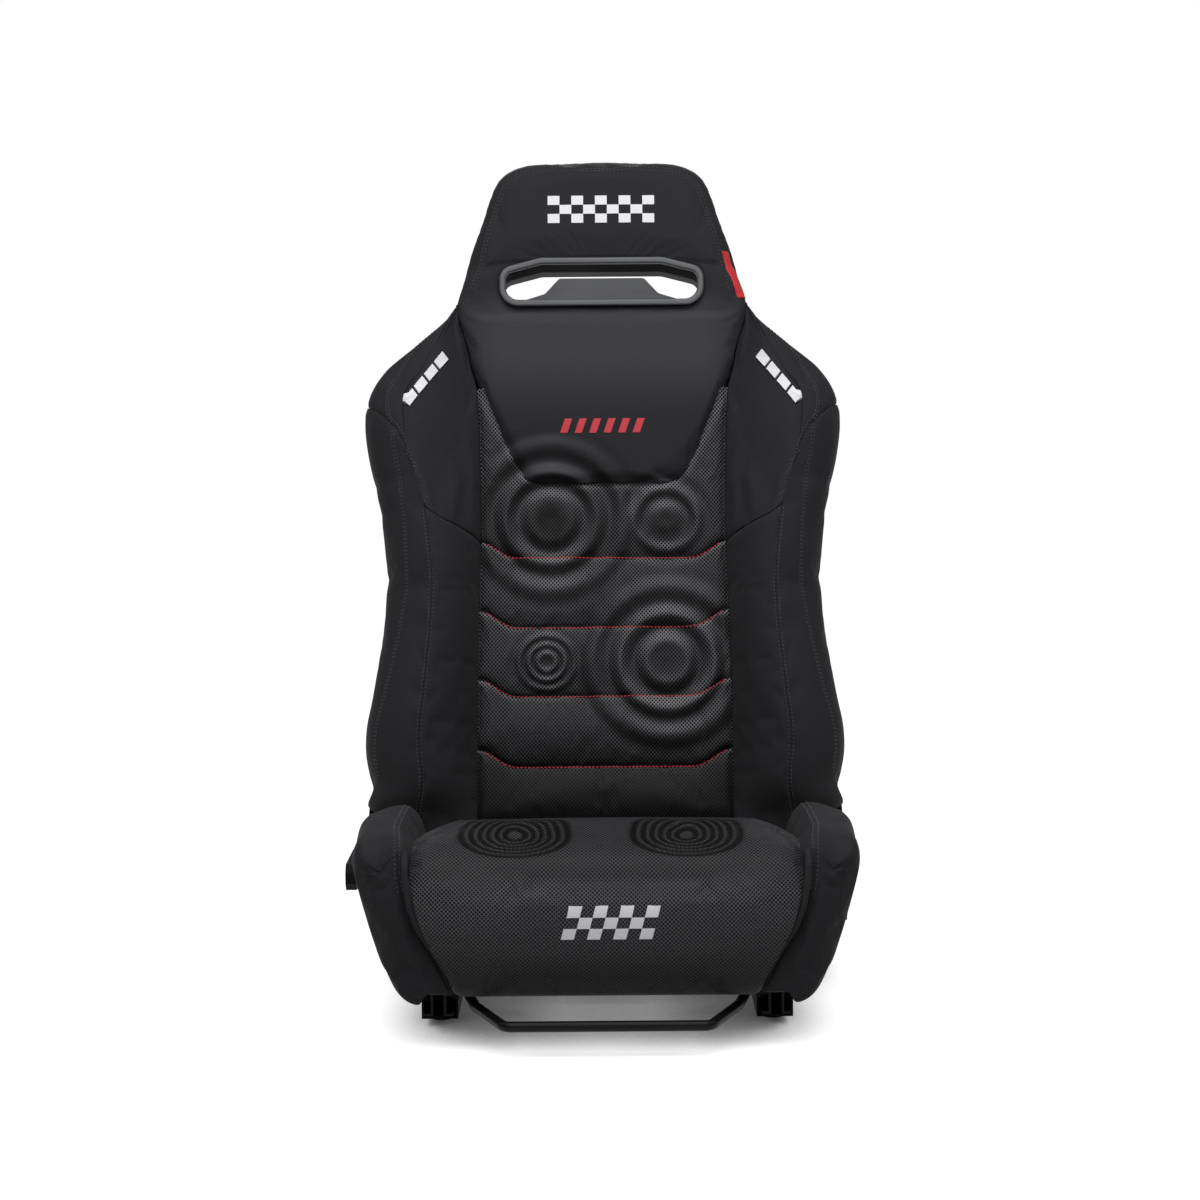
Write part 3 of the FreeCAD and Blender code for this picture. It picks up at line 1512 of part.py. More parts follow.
circuit = box(
    "circuit",
    (wall - half + 0.5, half - wall - 0.5),
    (case_front + wall + 0.5, case_rear - wall - 4),
    (box_bottom + wall, board_bottom),
)
keep("circuit_board", circuit)

# Fasteners

foot_bolt_parts = [fuse(f"foot_bolt_{index}", list(pair)) for index, pair in enumerate(bolt_heads)]
keep("bracket_bolts", group("bracket_bolts_group", foot_bolt_parts))

screws = []
screw_rows = [
    (length("screw_half"), length("screw_low")),
    (length("screw_half"), length("screw_middle")),
    (length("screw_head_half"), length("screw_top")),
]
for across, height in screw_rows:
    for side in (-1, 1):
        spot = Vector(side * across, shell_depth_at(height) + 0.1, height)
        head_size = (length("screw_head_radius"), length("screw_head_height"))
        screws.append(Part.makeCylinder(*head_size, spot, Vector(0, 1, 0)))
keep("shell_screws", solid_feature("shell_screws", Part.makeCompound(screws), back_place))

# Check the document and write one file for each sub-part

doc.recompute()
for obj in doc.Objects:
    bad = [state for state in obj.State if state in ("Invalid", "Error")]
    if bad:
        raise RuntimeError(f"{obj.Name} ({obj.Label}) is {bad}")

os.makedirs("parts", exist_ok=True)
for label, obj in nodes.items():
    shape = obj.Shape
    if shape.isNull() or not shape.isValid():
        raise RuntimeError(f"{label} has no valid shape")
    if not shape.Solids or min(solid.Volume for solid in shape.Solids) <= 0:
        raise RuntimeError(f"{label} has no solid")
for label, obj in nodes.items():
    obj.Shape.exportStep(f"parts/{label}.step")
    print(label, len(obj.Shape.Solids), round(obj.Shape.Volume))
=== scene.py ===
import math
import bpy
import bmesh
import numpy as np
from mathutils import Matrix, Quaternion, Vector


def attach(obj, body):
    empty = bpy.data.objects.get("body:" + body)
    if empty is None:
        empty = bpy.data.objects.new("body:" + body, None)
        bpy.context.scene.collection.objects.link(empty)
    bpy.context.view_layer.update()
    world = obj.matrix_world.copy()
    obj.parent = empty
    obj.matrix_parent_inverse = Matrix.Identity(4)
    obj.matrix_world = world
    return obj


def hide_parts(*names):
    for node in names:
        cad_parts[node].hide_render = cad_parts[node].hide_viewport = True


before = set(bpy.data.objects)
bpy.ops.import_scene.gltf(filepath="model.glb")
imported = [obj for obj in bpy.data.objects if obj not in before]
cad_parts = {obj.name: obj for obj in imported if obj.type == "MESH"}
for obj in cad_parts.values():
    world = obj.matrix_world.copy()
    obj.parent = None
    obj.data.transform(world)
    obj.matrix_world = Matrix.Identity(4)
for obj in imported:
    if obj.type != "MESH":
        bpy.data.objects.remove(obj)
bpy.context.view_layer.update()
print("frame loaded")

# Every length below is in millimetres until it goes into a mesh.
# The backrest is drawn in its own upright plane: across, up from the recline pivot, out towards the sitter.

leanBack = {"angle": 13.0, "pivotY": 185.0, "pivotZ": 130.0}


def onBack(points):
    # Leans (across, up, out) back about the pivot and turns it to metres.
    across, up, out = np.moveaxis(np.asarray(points, float), -1, 0)
    sine = math.sin(math.radians(leanBack["angle"]))
    cosine = math.cos(math.radians(leanBack["angle"]))
    y = leanBack["pivotY"] + up * sine - out * cosine
    z = leanBack["pivotZ"] + up * cosine + out * sine
    return np.stack([across, y, z], -1) / 1000


def stack(*parts):
    return np.stack(np.broadcast_arrays(*parts), -1).astype(float)


def smoothStep(low, high, value):
    # 0 below low, 1 above high, with level ends: 3 s^2 - 2 s^3.
    share = np.clip((value - low) / (high - low), 0, 1)
    return share * share * (3 - 2 * share)


def cubic(start, finish, startSlope, finishSlope, part):
    # Smooth piece between two values and slopes, where part runs from 0 to 1.
    first = start * (2 * part**3 - 3 * part**2 + 1) + startSlope * (part**3 - 2 * part**2 + part)
    return first + (finish * (3 * part**2 - 2 * part**3) + finishSlope * (part**3 - part**2))


def through(points, places):
    # Smooth curve through (place, value) pairs: cubic pieces with the slopes of their neighbours.
    knots, values = np.array(points, float).T
    slopes = np.gradient(values, knots)
    places = np.clip(np.asarray(places, float), knots[0], knots[-1])
    low = np.clip(np.searchsorted(knots, places, side="right") - 1, 0, len(knots) - 2)
    span = knots[low + 1] - knots[low]
    part = (places - knots[low]) / span
    return cubic(values[low], values[low + 1], span * slopes[low], span * slopes[low + 1], part)


def alongKeys(keys, share):
    # Smooth path through key points, where share runs from 0 at the first key to 1 at the last.
    slopes = np.gradient(keys, axis=0)
    place = np.clip(share, 0, 1) * (len(keys) - 1)
    low = np.minimum(place.astype(int), len(keys) - 2)

    def pick(table, index):
        return np.take_along_axis(table, index[None, ..., None], 0)[0]

    part = (place - low)[..., None]
    return cubic(pick(keys, low), pick(keys, low + 1), pick(slopes, low), pick(slopes, low + 1), part)


def smoothLoop(points, count):
    # A smooth closed line through the points.
    loop = np.concatenate([points, points[:1]])
    keys = np.broadcast_to(loop[:, None, None], (len(loop), 1, count, 2))
    return alongKeys(keys, np.linspace(0, 1, count)[None])[0][:-1]


def unit(vectors):
    return vectors / np.maximum(np.linalg.norm(vectors, axis=-1, keepdims=True), 1e-12)


def lengthAlong(points, axis=0):
    # Distance walked along one axis of a grid, starting at 0.
    steps = np.linalg.norm(np.diff(points, axis=axis), axis=-1)
    start = np.zeros_like(np.take(steps, [0], axis=axis))
    return np.cumsum(np.concatenate([start, steps], axis=axis), axis=axis)


def pointsAt(points, walked, stops):
    # The points of a line at the given distances along it.
    return np.stack([np.interp(stops, walked, column) for column in points.T], -1)


def evenly(points, count, closed=False):
    # The same line with evenly spaced points.
    if closed:
        points = np.concatenate([points, points[:1]])
    walked = lengthAlong(points)
    return pointsAt(points, walked, np.linspace(0, walked[-1], count, endpoint=not closed))


def finer(grid, rows, columns):
    # A smooth grid read at fractional rows and columns: cubic pieces one way, then the other.
    def oneWay(table, place):
        low = np.minimum(place.astype(int), len(table) - 2)
        slopes = np.gradient(table, axis=0)
        part = (place - low)[:, None, None]
        return cubic(table[low], table[low + 1], slopes[low], slopes[low + 1], part)

    return np.swapaxes(oneWay(np.swapaxes(oneWay(grid, rows), 0, 1), columns), 0, 1)


def quarterDrop(distance, radius):
    # How far a quarter circle has dropped at a distance from its end.
    part = np.clip(1 - distance / radius, 0, 1)
    return radius * (1 - np.sqrt(np.maximum(1 - part**2, 0)))


def bell(distance, reach):
    # 1 at distance 0, falling off smoothly on either side.
    return np.exp(-((distance / reach) ** 2))


def ringNormals(rings):
    # Across direction times along direction at each point of closed rings, turned away from their middles.
    across = np.roll(rings, -1, axis=1) - np.roll(rings, 1, axis=1)
    normals = unit(np.cross(across, np.gradient(rings, axis=0)))
    away = np.sum(normals * (rings - rings.mean(axis=1, keepdims=True)))
    return normals if away >= 0 else -normals


def gridFaces(rows, columns, wrapRows=False, wrapColumns=False):
    # Four-sided faces between neighbours in a grid of points.
    row = np.arange(rows if wrapRows else rows - 1)[:, None]
    column = np.arange(columns if wrapColumns else columns - 1)[None, :]
    nextRow = (row + 1) % rows
    nextColumn = (column + 1) % columns
    corners = [row * columns + column, row * columns + nextColumn]
    corners += [nextRow * columns + nextColumn, nextRow * columns + column]
    return np.stack(np.broadcast_arrays(*corners), -1).reshape(-1, 4)


def ladderFaces(loop):
    # Closes an even loop of point numbers with rungs from one half to the other.
    loop = np.asarray(loop)
    half = len(loop) // 2
    one, other = loop[:half], loop[::-1][:half]
    return np.stack([one[:-1], one[1:], other[1:], other[:-1]], -1)


def addPiece(name, points, faces, material, uv=None):
    # One mesh object at the origin, its points in metres, smooth, with its faces turned outwards.
    mesh = bpy.data.meshes.new(name)
    mesh.from_pydata(np.asarray(points).reshape(-1, 3).tolist(), [], [list(map(int, face)) for face in faces])
    if uv is not None:
        layer = mesh.uv_layers.new(name="cloth")
        corner = np.zeros(len(mesh.loops), int)
        mesh.loops.foreach_get("vertex_index", corner)
        layer.data.foreach_set("uv", np.asarray(uv, float).reshape(-1, 2)[corner].ravel())
    work = bmesh.new()
    work.from_mesh(mesh)
    bmesh.ops.recalc_face_normals(work, faces=work.faces)
    work.to_mesh(mesh)
    work.free()
    mesh.polygons.foreach_set("use_smooth", np.ones(len(mesh.polygons), bool))
    obj = bpy.data.objects.new(name, mesh)
    bpy.context.scene.collection.objects.link(obj)
    mesh.materials.append(material)
    return obj


def finishModifiers(obj):
    # Writes the modifiers' result into the mesh.
    bpy.context.view_layer.update()
    ready = obj.evaluated_get(bpy.context.evaluated_depsgraph_get())
    mesh = bpy.data.meshes.new_from_object(ready)
    obj.modifiers.clear()
    obj.data = mesh
    mesh.polygons.foreach_set("use_smooth", np.ones(len(mesh.polygons), bool))
    return obj


def subdivide(obj):
    modifier = obj.modifiers.new("subdivide", "SUBSURF")
    modifier.levels = 1
    modifier.render_levels = 1
    modifier.uv_smooth = "PRESERVE_BOUNDARIES"
    return finishModifiers(obj)


clothSize = {
    "steps": 20,
    "slack": 0.006,
    "mass": 0.15,
    "tension": 12,
    "shear": 5,
    "bending": 0.4,
}


def settleCover(points, faces, held, pressure, cap):
    # Swells a sewn cover with air inside while its seams are held, and returns the new points.
    # The cloth is cut too large by the slack, as a share; no point moves further than cap mm.
    points = np.asarray(points, float).reshape(-1, 3)
    cover = addPiece("cover", points, faces, None)
    group = cover.vertex_groups.new(name="held")
    group.add(np.flatnonzero(np.asarray(held).ravel()).tolist(), 1.0, "REPLACE")
    cloth = cover.modifiers.new("cloth", "CLOTH")
    settings = cloth.settings
    settings.vertex_group_mass = "held"
    settings.use_pressure = True
    settings.uniform_pressure_force = pressure
    settings.shrink_min = -clothSize["slack"]
    settings.effector_weights.gravity = 0
    settings.quality = 3
    settings.mass = clothSize["mass"]
    settings.tension_stiffness = clothSize["tension"]
    settings.compression_stiffness = clothSize["tension"]
    settings.shear_stiffness = clothSize["shear"]
    settings.bending_stiffness = clothSize["bending"]
    cloth.collision_settings.use_collision = False
    for step in range(1, clothSize["steps"] + 1):
        bpy.context.scene.frame_set(step)
    ready = cover.evaluated_get(bpy.context.evaluated_depsgraph_get())
    moved = np.zeros(len(ready.data.vertices) * 3)
    ready.data.vertices.foreach_get("co", moved)
    travel = moved.reshape(-1, 3) - points
    size = np.maximum(np.linalg.norm(travel, axis=1, keepdims=True), 1e-9)
    bpy.data.objects.remove(cover)
    bpy.context.scene.frame_set(1)
    return points + travel * np.minimum(1, cap / 1000 / size)


# Materials


def linear(code):
    # sRGB hex to the linear colour that Blender's sockets take.
    values = [int(code[place : place + 2], 16) / 255 for place in (0, 2, 4)]
    return [v / 12.92 if v <= 0.04045 else ((v + 0.055) / 1.055) ** 2.4 for v in values] + [1.0]


def addNode(tree, kind, values=None, links=None, **settings):
    node = tree.nodes.new(kind)
    for key, value in settings.items():
        setattr(node, key, value)
    for socket, value in (values or {}).items():
        node.inputs[socket].default_value = value
    for socket, source in (links or {}).items():
        tree.links.new(source, node.inputs[socket])
    return node


def newMaterial(name):
    material = bpy.data.materials.new(name)
    material.use_nodes = True
    tree = material.node_tree
    tree.nodes.clear()
    return material, tree


def clothPlace(tree):
    return addNode(tree, "ShaderNodeUVMap", uv_map="cloth").outputs["UV"]


def objectPlace(tree):
    return addNode(tree, "ShaderNodeTexCoord").outputs["Object"]


def noise(tree, place, scale, detail):
    values = {"Scale": scale, "Detail": detail}
    return addNode(tree, "ShaderNodeTexNoise", values, {"Vector": place}).outputs["Fac"]


def maths(tree, operation, first, second=None, clamp=False):
    # One maths node on a link and, if given, a second link or number.
    node = addNode(tree, "ShaderNodeMath", links={0: first}, operation=operation, use_clamp=clamp)
    if isinstance(second, float):
        node.inputs[1].default_value = second
    elif second is not None:
        tree.links.new(second, node.inputs[1])
    return node.outputs[0]


def ranged(tree, value, start, finish, **settings):
    # Maps one range of values onto another, held at its ends.
    limits = {"From Min": start[0], "From Max": start[1], "To Min": finish[0], "To Max": finish[1]}
    return addNode(tree, "ShaderNodeMapRange", limits, {"Value": value}, **settings).outputs["Result"]


def mixed(tree, share, first, second):
    # Blends two colours, each a hex code or a link, by a share.
    node = addNode(tree, "ShaderNodeMix", links={0: share}, data_type="RGBA")
    for socket, source in ((node.inputs[6], first), (node.inputs[7], second)):
        if isinstance(source, str):
            socket.default_value = linear(source)
        else:
            tree.links.new(source, socket)
    return node.outputs[2]


def withPaintedShading(tree, colour, highlightCode, shadeCode):
    # Mixes in a painted highlight colour where the painted shading attribute is above 0 and a painted shade
    # colour where it is below.
    paintedShading = addNode(tree, "ShaderNodeAttribute", attribute_name="paintedShading").outputs["Fac"]
    paler = maths(tree, "MULTIPLY", paintedShading, 1.0, True)
    darker = maths(tree, "MULTIPLY", paintedShading, -1.0, True)
    return mixed(tree, darker, mixed(tree, paler, colour, highlightCode), shadeCode)


socketNames = {
    "metallic": "Metallic",
    "roughness": "Roughness",
    "ior": "IOR",
    "sheen": "Sheen Weight",
    "sheenRoughness": "Sheen Roughness",
    "specular": "Specular IOR Level",
}


def finishMaterial(material, colour, bump, links=None, **values):
    # The surface shader. A bump is (height link, strength, depth in mm); values are the same all over.
    tree = material.node_tree
    height, strength, depth = bump
    sizes = {"Strength": strength, "Distance": depth / 1000}
    normal = addNode(tree, "ShaderNodeBump", sizes, {"Height": height}).outputs["Normal"]
    values = {socketNames[key]: value for key, value in values.items()}
    links = {"Base Color": colour, "Normal": normal, **(links or {})}
    shader = addNode(tree, "ShaderNodeBsdfPrincipled", values, links)
    addNode(tree, "ShaderNodeOutputMaterial", links={"Surface": shader.outputs["BSDF"]})
    return material


def wovenCloth():
    # Polyester upholstery cloth: a tight plain weave, dull, with a faint light edge where it turns away.
    # Threads are drawn 1.6 mm apart, three times the real 0.55 mm, so that the weave shows in the render.
    material, tree = newMaterial("wovenPolyesterBlack")
    place = clothPlace(tree)
    wave = {"Scale": 1000 / 1.6 / 20 * math.pi, "Distortion": 1.6, "Detail": 2.0, "Detail Scale": 2.5}
    threads = []
    for direction in ("X", "Y"):
        node = addNode(tree, "ShaderNodeTexWave", wave, {"Vector": place}, bands_direction=direction)
        threads.append(node.outputs["Fac"])
    weave = maths(tree, "MULTIPLY", *threads)
    spot = objectPlace(tree)
    fuzz = noise(tree, spot, 700.0, 2.0)
    shade = mixed(tree, noise(tree, spot, 14.0, 4.0), "19191a", "222223")
    colour = mixed(tree, weave, mixed(tree, fuzz, shade, "303033"), "2b2b2e")
    # Painted highlight and painted shade from the painted shading attribute
    colour = withPaintedShading(tree, colour, "58585c", "08080a")
    height = maths(tree, "ADD", maths(tree, "MULTIPLY", weave, 0.2), fuzz)
    return finishMaterial(
        material, colour, (height, 0.5, 0.5), roughness=0.75, specular=0.12, sheen=0.03, sheenRoughness=0.4
    )


def spacerMesh(name, pitch, threadCode, threadPaler):
    # Knitted spacer mesh: a lattice of polyester cords over dark holes; the cords catch the light.
    # pitch is the spacing of the diagonal cords in mm. The painted shading attribute puts painted highlights
    # and painted shade on the cords.
    material, tree = newMaterial(name)
    place = clothPlace(tree)
    waves = []
    for turn in (1, -1):
        values = {"Rotation": (0, 0, turn * math.radians(45)), "Scale": (1000 / pitch, 1000 / pitch, 1)}
        turned = addNode(tree, "ShaderNodeMapping", values, {"Vector": place}).outputs["Vector"]
        across = addNode(tree, "ShaderNodeSeparateXYZ", links={"Vector": turned}).outputs["X"]
        waves.append(maths(tree, "SINE", maths(tree, "MULTIPLY", across, 2 * math.pi)))
    cords = ranged(tree, maths(tree, "MAXIMUM", *waves), (0.62, 0.98), (0.0, 1.0))
    thread = mixed(tree, noise(tree, objectPlace(tree), 22.0, 3.0), threadCode, threadPaler)
    # Painted highlight and painted shade on the cords from the painted shading attribute
    colour = mixed(tree, cords, "020202", withPaintedShading(tree, thread, "a6a6aa", "050506"))
    return finishMaterial(material, colour, (cords, 0.6, 0.4), roughness=0.5, specular=0.12, sheen=0.02)


def mouldedPlastic(name, code, paler, grain, roughness, bumpDepth, specular=0.5):
    # Injection-moulded plastic with a fine spark-eroded grain; grain is its size in mm.
    # A deep grain traps light, so the black kinds take a low specular level.
    material, tree = newMaterial(name)
    spot = objectPlace(tree)
    fine = noise(tree, spot, 1000 / grain / 2, 3.0)
    broad = noise(tree, spot, 9.0, 3.0)
    rough = ranged(tree, broad, (0.3, 0.7), (roughness - 0.07, roughness + 0.07))
    colour = mixed(tree, broad, code, paler)
    bump = (fine, 0.4, bumpDepth)
    return finishMaterial(material, colour, bump, {"Roughness": rough}, ior=1.53, specular=specular)


def coatedSteel(name, code, roughness):
    # Powder-coated steel: a thick even film with a slight orange peel and a faint random change of tone.
    material, tree = newMaterial(name)
    spot = objectPlace(tree)
    peel = noise(tree, spot, 420.0, 2.0)
    colour = mixed(tree, noise(tree, spot, 30.0, 5.0), code, "111113")
    return finishMaterial(material, colour, (peel, 0.25, 0.3), roughness=roughness, ior=1.5, specular=0.14)


def bareSteel(name, code, roughness):
    # Ground, zinc-plated steel: grey, metallic, with faint drawn lines.
    material, tree = newMaterial(name)
    long = {"Scale": (900, 30, 900)}
    drawn = addNode(tree, "ShaderNodeMapping", long, {"Vector": objectPlace(tree)}).outputs["Vector"]
    lines = noise(tree, drawn, 1.0, 3.0)
    colour = mixed(tree, lines, code, "b9b9bb")
    return finishMaterial(material, colour, (lines, 0.15, 0.2), metallic=1.0, roughness=roughness)


def thread(name, code, darker):
    # Twisted polyester thread: a soft gloss along fine turns 0.4 mm apart.
    material, tree = newMaterial(name)
    turns = noise(tree, objectPlace(tree), 1600.0, 1.0)
    colour = mixed(tree, turns, darker, code)
    return finishMaterial(material, colour, (turns, 0.3, 0.2), roughness=0.55, sheen=0.2)


# Plastics: two colours, grain in mm, roughness, bump depth in mm, gloss. Steels: a colour and roughness.
finishes = {
    "cloth": wovenCloth(),
    "mesh": spacerMesh("spacerMeshBlack", 2.95, "545458", "606064"),
    "seatMesh": spacerMesh("spacerMeshCoarse", 3.0, "5e5e62", "6c6c70"),
    "blackPlastic": mouldedPlastic("mouldedPolypropyleneBlack", "0d0d0e", "141416", 0.5, 0.55, 0.12, 0.08),
    # A darker, duller copy of the black plastic: painted shade inside the head opening
    "paintedShadePlastic": mouldedPlastic("mouldedAbsBlackPaintedShade", "08080a", "0d0d0f", 0.4, 0.8, 0.08, 0.03),
    "greyPlastic": mouldedPlastic("mouldedAbsGrey", "434447", "4d4e52", 0.3, 0.42, 0.05),
    # A darker, matt copy of the grey bezel plastic: painted shade on the guide plate
    "mattPlastic": mouldedPlastic("mouldedAbsMattPaintedShade", "303134", "38393c", 0.4, 0.62, 0.08),
    "blackSteel": coatedSteel("powderCoatBlack", "08080a", 0.4),
    "bareSteel": bareSteel("zincPlatedSteel", "8d8e91", 0.38),
    "blackOxide": coatedSteel("blackOxideSteel", "1b1b1d", 0.34),
    "redThread": thread("threadRed", "e0243c", "a01428"),
    "blackThread": thread("threadBlack", "2b2b2f", "161618"),
    "whiteThread": thread("embroideryWhite", "f4f4f6", "d8d8dc"),
    "redTape": thread("wovenTapeRed", "d8121c", "ac0c14"),
    "board": mouldedPlastic("fibreglassBoardGreen", "14502c", "1b6338", 0.4, 0.4, 0.05),
}
print("materials made")

# CAD pieces that show as they are

shownNodes = {
    "blackSteel": [
        "lower_rail_left", "lower_rail_right", "rail_feet", "upper_rail_left", "upper_rail_right",
        "latch_plate_left", "latch_plate_right", "latch_guide_left", "latch_guide_right", "bar_bush_left",
        "bar_bush_right", "pan_posts", "seat_pan", "recliner_bracket_left", "recliner_bracket_right",
        "recliner_disc_left", "recliner_disc_right", "recliner_plate_left", "recliner_plate_right",
        "back_frame", "release_bar",
    ],
    "bareSteel": ["ball_cage_left", "ball_cage_right", "recline_shaft", "unit_posts", "box_sockets"],
    "blackOxide": ["bracket_bolts", "shell_screws"],
    "blackPlastic": [
        "rail_end_caps", "shaft_cap", "support_board", "control_box", "back_vibration_units",
        "seat_vibration_units", "recliner_cover_left", "recliner_cover_right", "recline_lever", "back_shell",
    ],
    "greyPlastic": ["opening_bezel_front", "opening_bezel_rear", "opening_guide"],
    "board": ["circuit_board"],
}
for finish, names in shownNodes.items():
    for name in names:
        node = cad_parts[name]
        node.data.materials.clear()
        node.data.materials.append(finishes[finish])

# Backrest side covers: one surface from the mesh panel over the crest to the rear rim

backSize = {
    "outerHalf": [
        (28, 281), (38, 278), (48, 273.5), (58, 269.5), (66, 268), (77, 270.5), (100, 275), (130, 274),
        (164, 266), (200, 259), (235, 253), (270, 250), (306, 249), (342, 252), (377, 257), (413, 264.5),
        (449, 273), (485, 278), (503, 278.5), (521, 275.5), (539, 267.5), (558, 253.5), (576, 235),
        (601, 205.5), (615, 188.5), (627, 175.5), (635, 171),
    ],
    "innerHalf": [
        (0, 148), (130, 147.5), (210, 146.5), (290, 144.5), (370, 142), (450, 143.5), (515, 146),
        (535, 148),
        (560, 155), (585, 160), (622, 170), (635, 170.5),
    ],
    "crestOut": [
        (-20, 50), (0, 60), (28, 76), (50, 93), (80, 104), (105, 108), (295, 108), (340, 106), (392, 101),
        (440, 96), (490, 92), (560, 72), (627, 49), (635, 44),
    ],
    "crestInset": [(0, 66), (140, 65), (200, 57), (250, 54.5), (300, 52), (400, 52), (635, 52)],
    "edgeOut": 40.0,
    "hem": 37.0,
    "hemInside": -8.0,
    "wingTop": 635.0,
    "footOut": 1.0,
    "footRise": 24,
}


def sideSurface(share, up):
    # Section at each height, through keys from the panel seam (share 0) over the crest (0.4) to the rim (1).
    inner = through(backSize["innerHalf"], up)
    outer = through(backSize["outerHalf"], up)
    crest = through(backSize["crestOut"], up)
    edge = backSize["edgeOut"]
    inset = np.minimum(through(backSize["crestInset"], up), (outer - inner) * 0.5)
    peak = outer - inset
    run = peak - inner
    rise = crest - edge
    keys = [
        (inner, edge - 5),
        (inner + run * 0.13, edge + rise * 0.2),
        (inner + run * 0.42, edge + rise * 0.62),
        (inner + run * 0.76, edge + rise * 0.93),
        (peak, crest),
        (peak + inset * 0.46, crest * 0.93),
        (peak + inset * 0.86, crest * 0.71),
        (outer, crest * 0.42),
        (outer - 0.5, crest * 0.2),
        (outer - 3, 2 + up * 0),
        (outer - 9, -0.5 + up * 0),
    ]
    keys = np.stack([stack(across, out) for across, out in keys])
    across, out = np.moveaxis(alongKeys(keys, share), -1, 0)
    return stack(across, up, out)


# The seam between shoulder cover and side cover, as (share, up) pairs from the panel seam outwards.
wingSeam = [
    (0.0, 349), (0.12, 355), (0.25, 366), (0.36, 376), (0.4, 381), (0.401, 395), (0.403, 410), (0.407, 425),
    (0.414, 440), (0.43, 457), (0.46, 474), (0.51, 491), (0.57, 504), (0.68, 513), (0.8, 516), (1.0, 516),
]
sideGrid = {
    "columns": 66,
    "backColumns": 6,
    "wallColumns": 5,
    "sideRows": 72,
    "wingRows": 46,
    # Shares at which the columns meet the crest, the seam's turn outwards at its height, and the rear rim
    "crestShare": 0.4,
    "turnShare": 0.45,
    "turnUp": 440,
    "rimShare": 0.6,
}


def seamColumns():
    # The wing seam with evenly spaced columns, and the straight shares that meet it at either end.
    keys = np.array(wingSeam, float)
    dense = pointsAt(keys, np.arange(len(keys)), np.linspace(0, len(keys) - 1, 900))
    walked = lengthAlong(sideSurface(dense[None, :, 0], dense[None, :, 1])[0])
    share, up = pointsAt(dense, walked, np.linspace(0, walked[-1], sideGrid["columns"])).T
    crest = int(np.searchsorted(share, sideGrid["crestShare"]))
    turn = int(np.searchsorted(up, sideGrid["turnUp"]))
    last = len(share) - 1
    shares = [0, sideGrid["crestShare"], sideGrid["turnShare"], 1]
    straight = np.interp(np.arange(last + 1), [0, crest, turn, last], shares)
    return share, up, straight, crest


def closeSection(front):
    # Joins each row's rim to its panel seam, along the frame plane and up the inner wall.
    rim = front[:, -1]
    foot = front[:, 0].copy()
    foot[:, 2] = backSize["footOut"] + backSize["footRise"] * (1 - smoothStep(8, 40, foot[:, 1]))
    shares = np.linspace(0, 1, sideGrid["backColumns"] + 1)[1:, None]
    back = rim[:, None] + (foot - rim)[:, None] * shares
    shares = np.linspace(0, 1, sideGrid["wallColumns"] + 1)[1:-1, None]
    wall = foot[:, None] + (front[:, 0] - foot)[:, None] * shares
    return np.concatenate([front, back, wall], axis=1)


def roundEnd(rings, radius, end):
    # Draws the rings near one end in towards their middle, as a quarter circle does.
    walked = lengthAlong(rings)
    walked = walked if end == 0 else walked[-1] - walked
    return rings + unit(rings.mean(axis=1, keepdims=True) - rings) * quarterDrop(walked, radius)[..., None]


def sewnEnd(rings, end, depth=1.3, width=4.0):
    # Dips the cloth beside its sewn end, and adds a ring close to it so that the end stays crisp.
    walked = lengthAlong(rings)
    walked = walked if end == 0 else walked[-1] - walked
    rings = rings - ringNormals(rings) * (depth * bell(walked, width))[..., None]
    if end == 0:
        return np.concatenate([rings[:1], rings[:1] * 0.93 + rings[1:2] * 0.07, rings[1:]])
    return np.concatenate([rings[:-1], rings[-1:] * 0.93 + rings[-2:-1] * 0.07, rings[-1:]])


def seamGroove(rings, column, depth, width, loft):
    # Sinks a sewn line along one column and lifts the cloth beside it.
    walked = lengthAlong(rings, axis=1)
    away = np.abs(walked - walked[:, column : column + 1])
    lift = loft * (1 - bell(away, 26)) * bell(away, 70)
    return rings + ringNormals(rings) * (lift - depth * bell(away, width))[..., None]


def ringFaces(rows, columns):
    # The faces of a closed form from rings, its end rings closed by ladders.
    faces = [gridFaces(rows, columns, wrapColumns=True), ladderFaces(np.arange(columns))]
    return np.concatenate(faces + [ladderFaces(np.arange(columns) + (rows - 1) * columns)])


def clothUv(points):
    # Distances over the surface in metres, so that a weave keeps its real size.
    across = lengthAlong(points, axis=1)
    along = lengthAlong(points, axis=0)
    middle = points.shape[1] // 3
    return stack(across - across[:, middle : middle + 1], along[:, middle : middle + 1] + 0 * across) / 1000


stitchSize = {"length": 3.2, "pitch": 4.6, "radius": 0.55, "sides": 6}


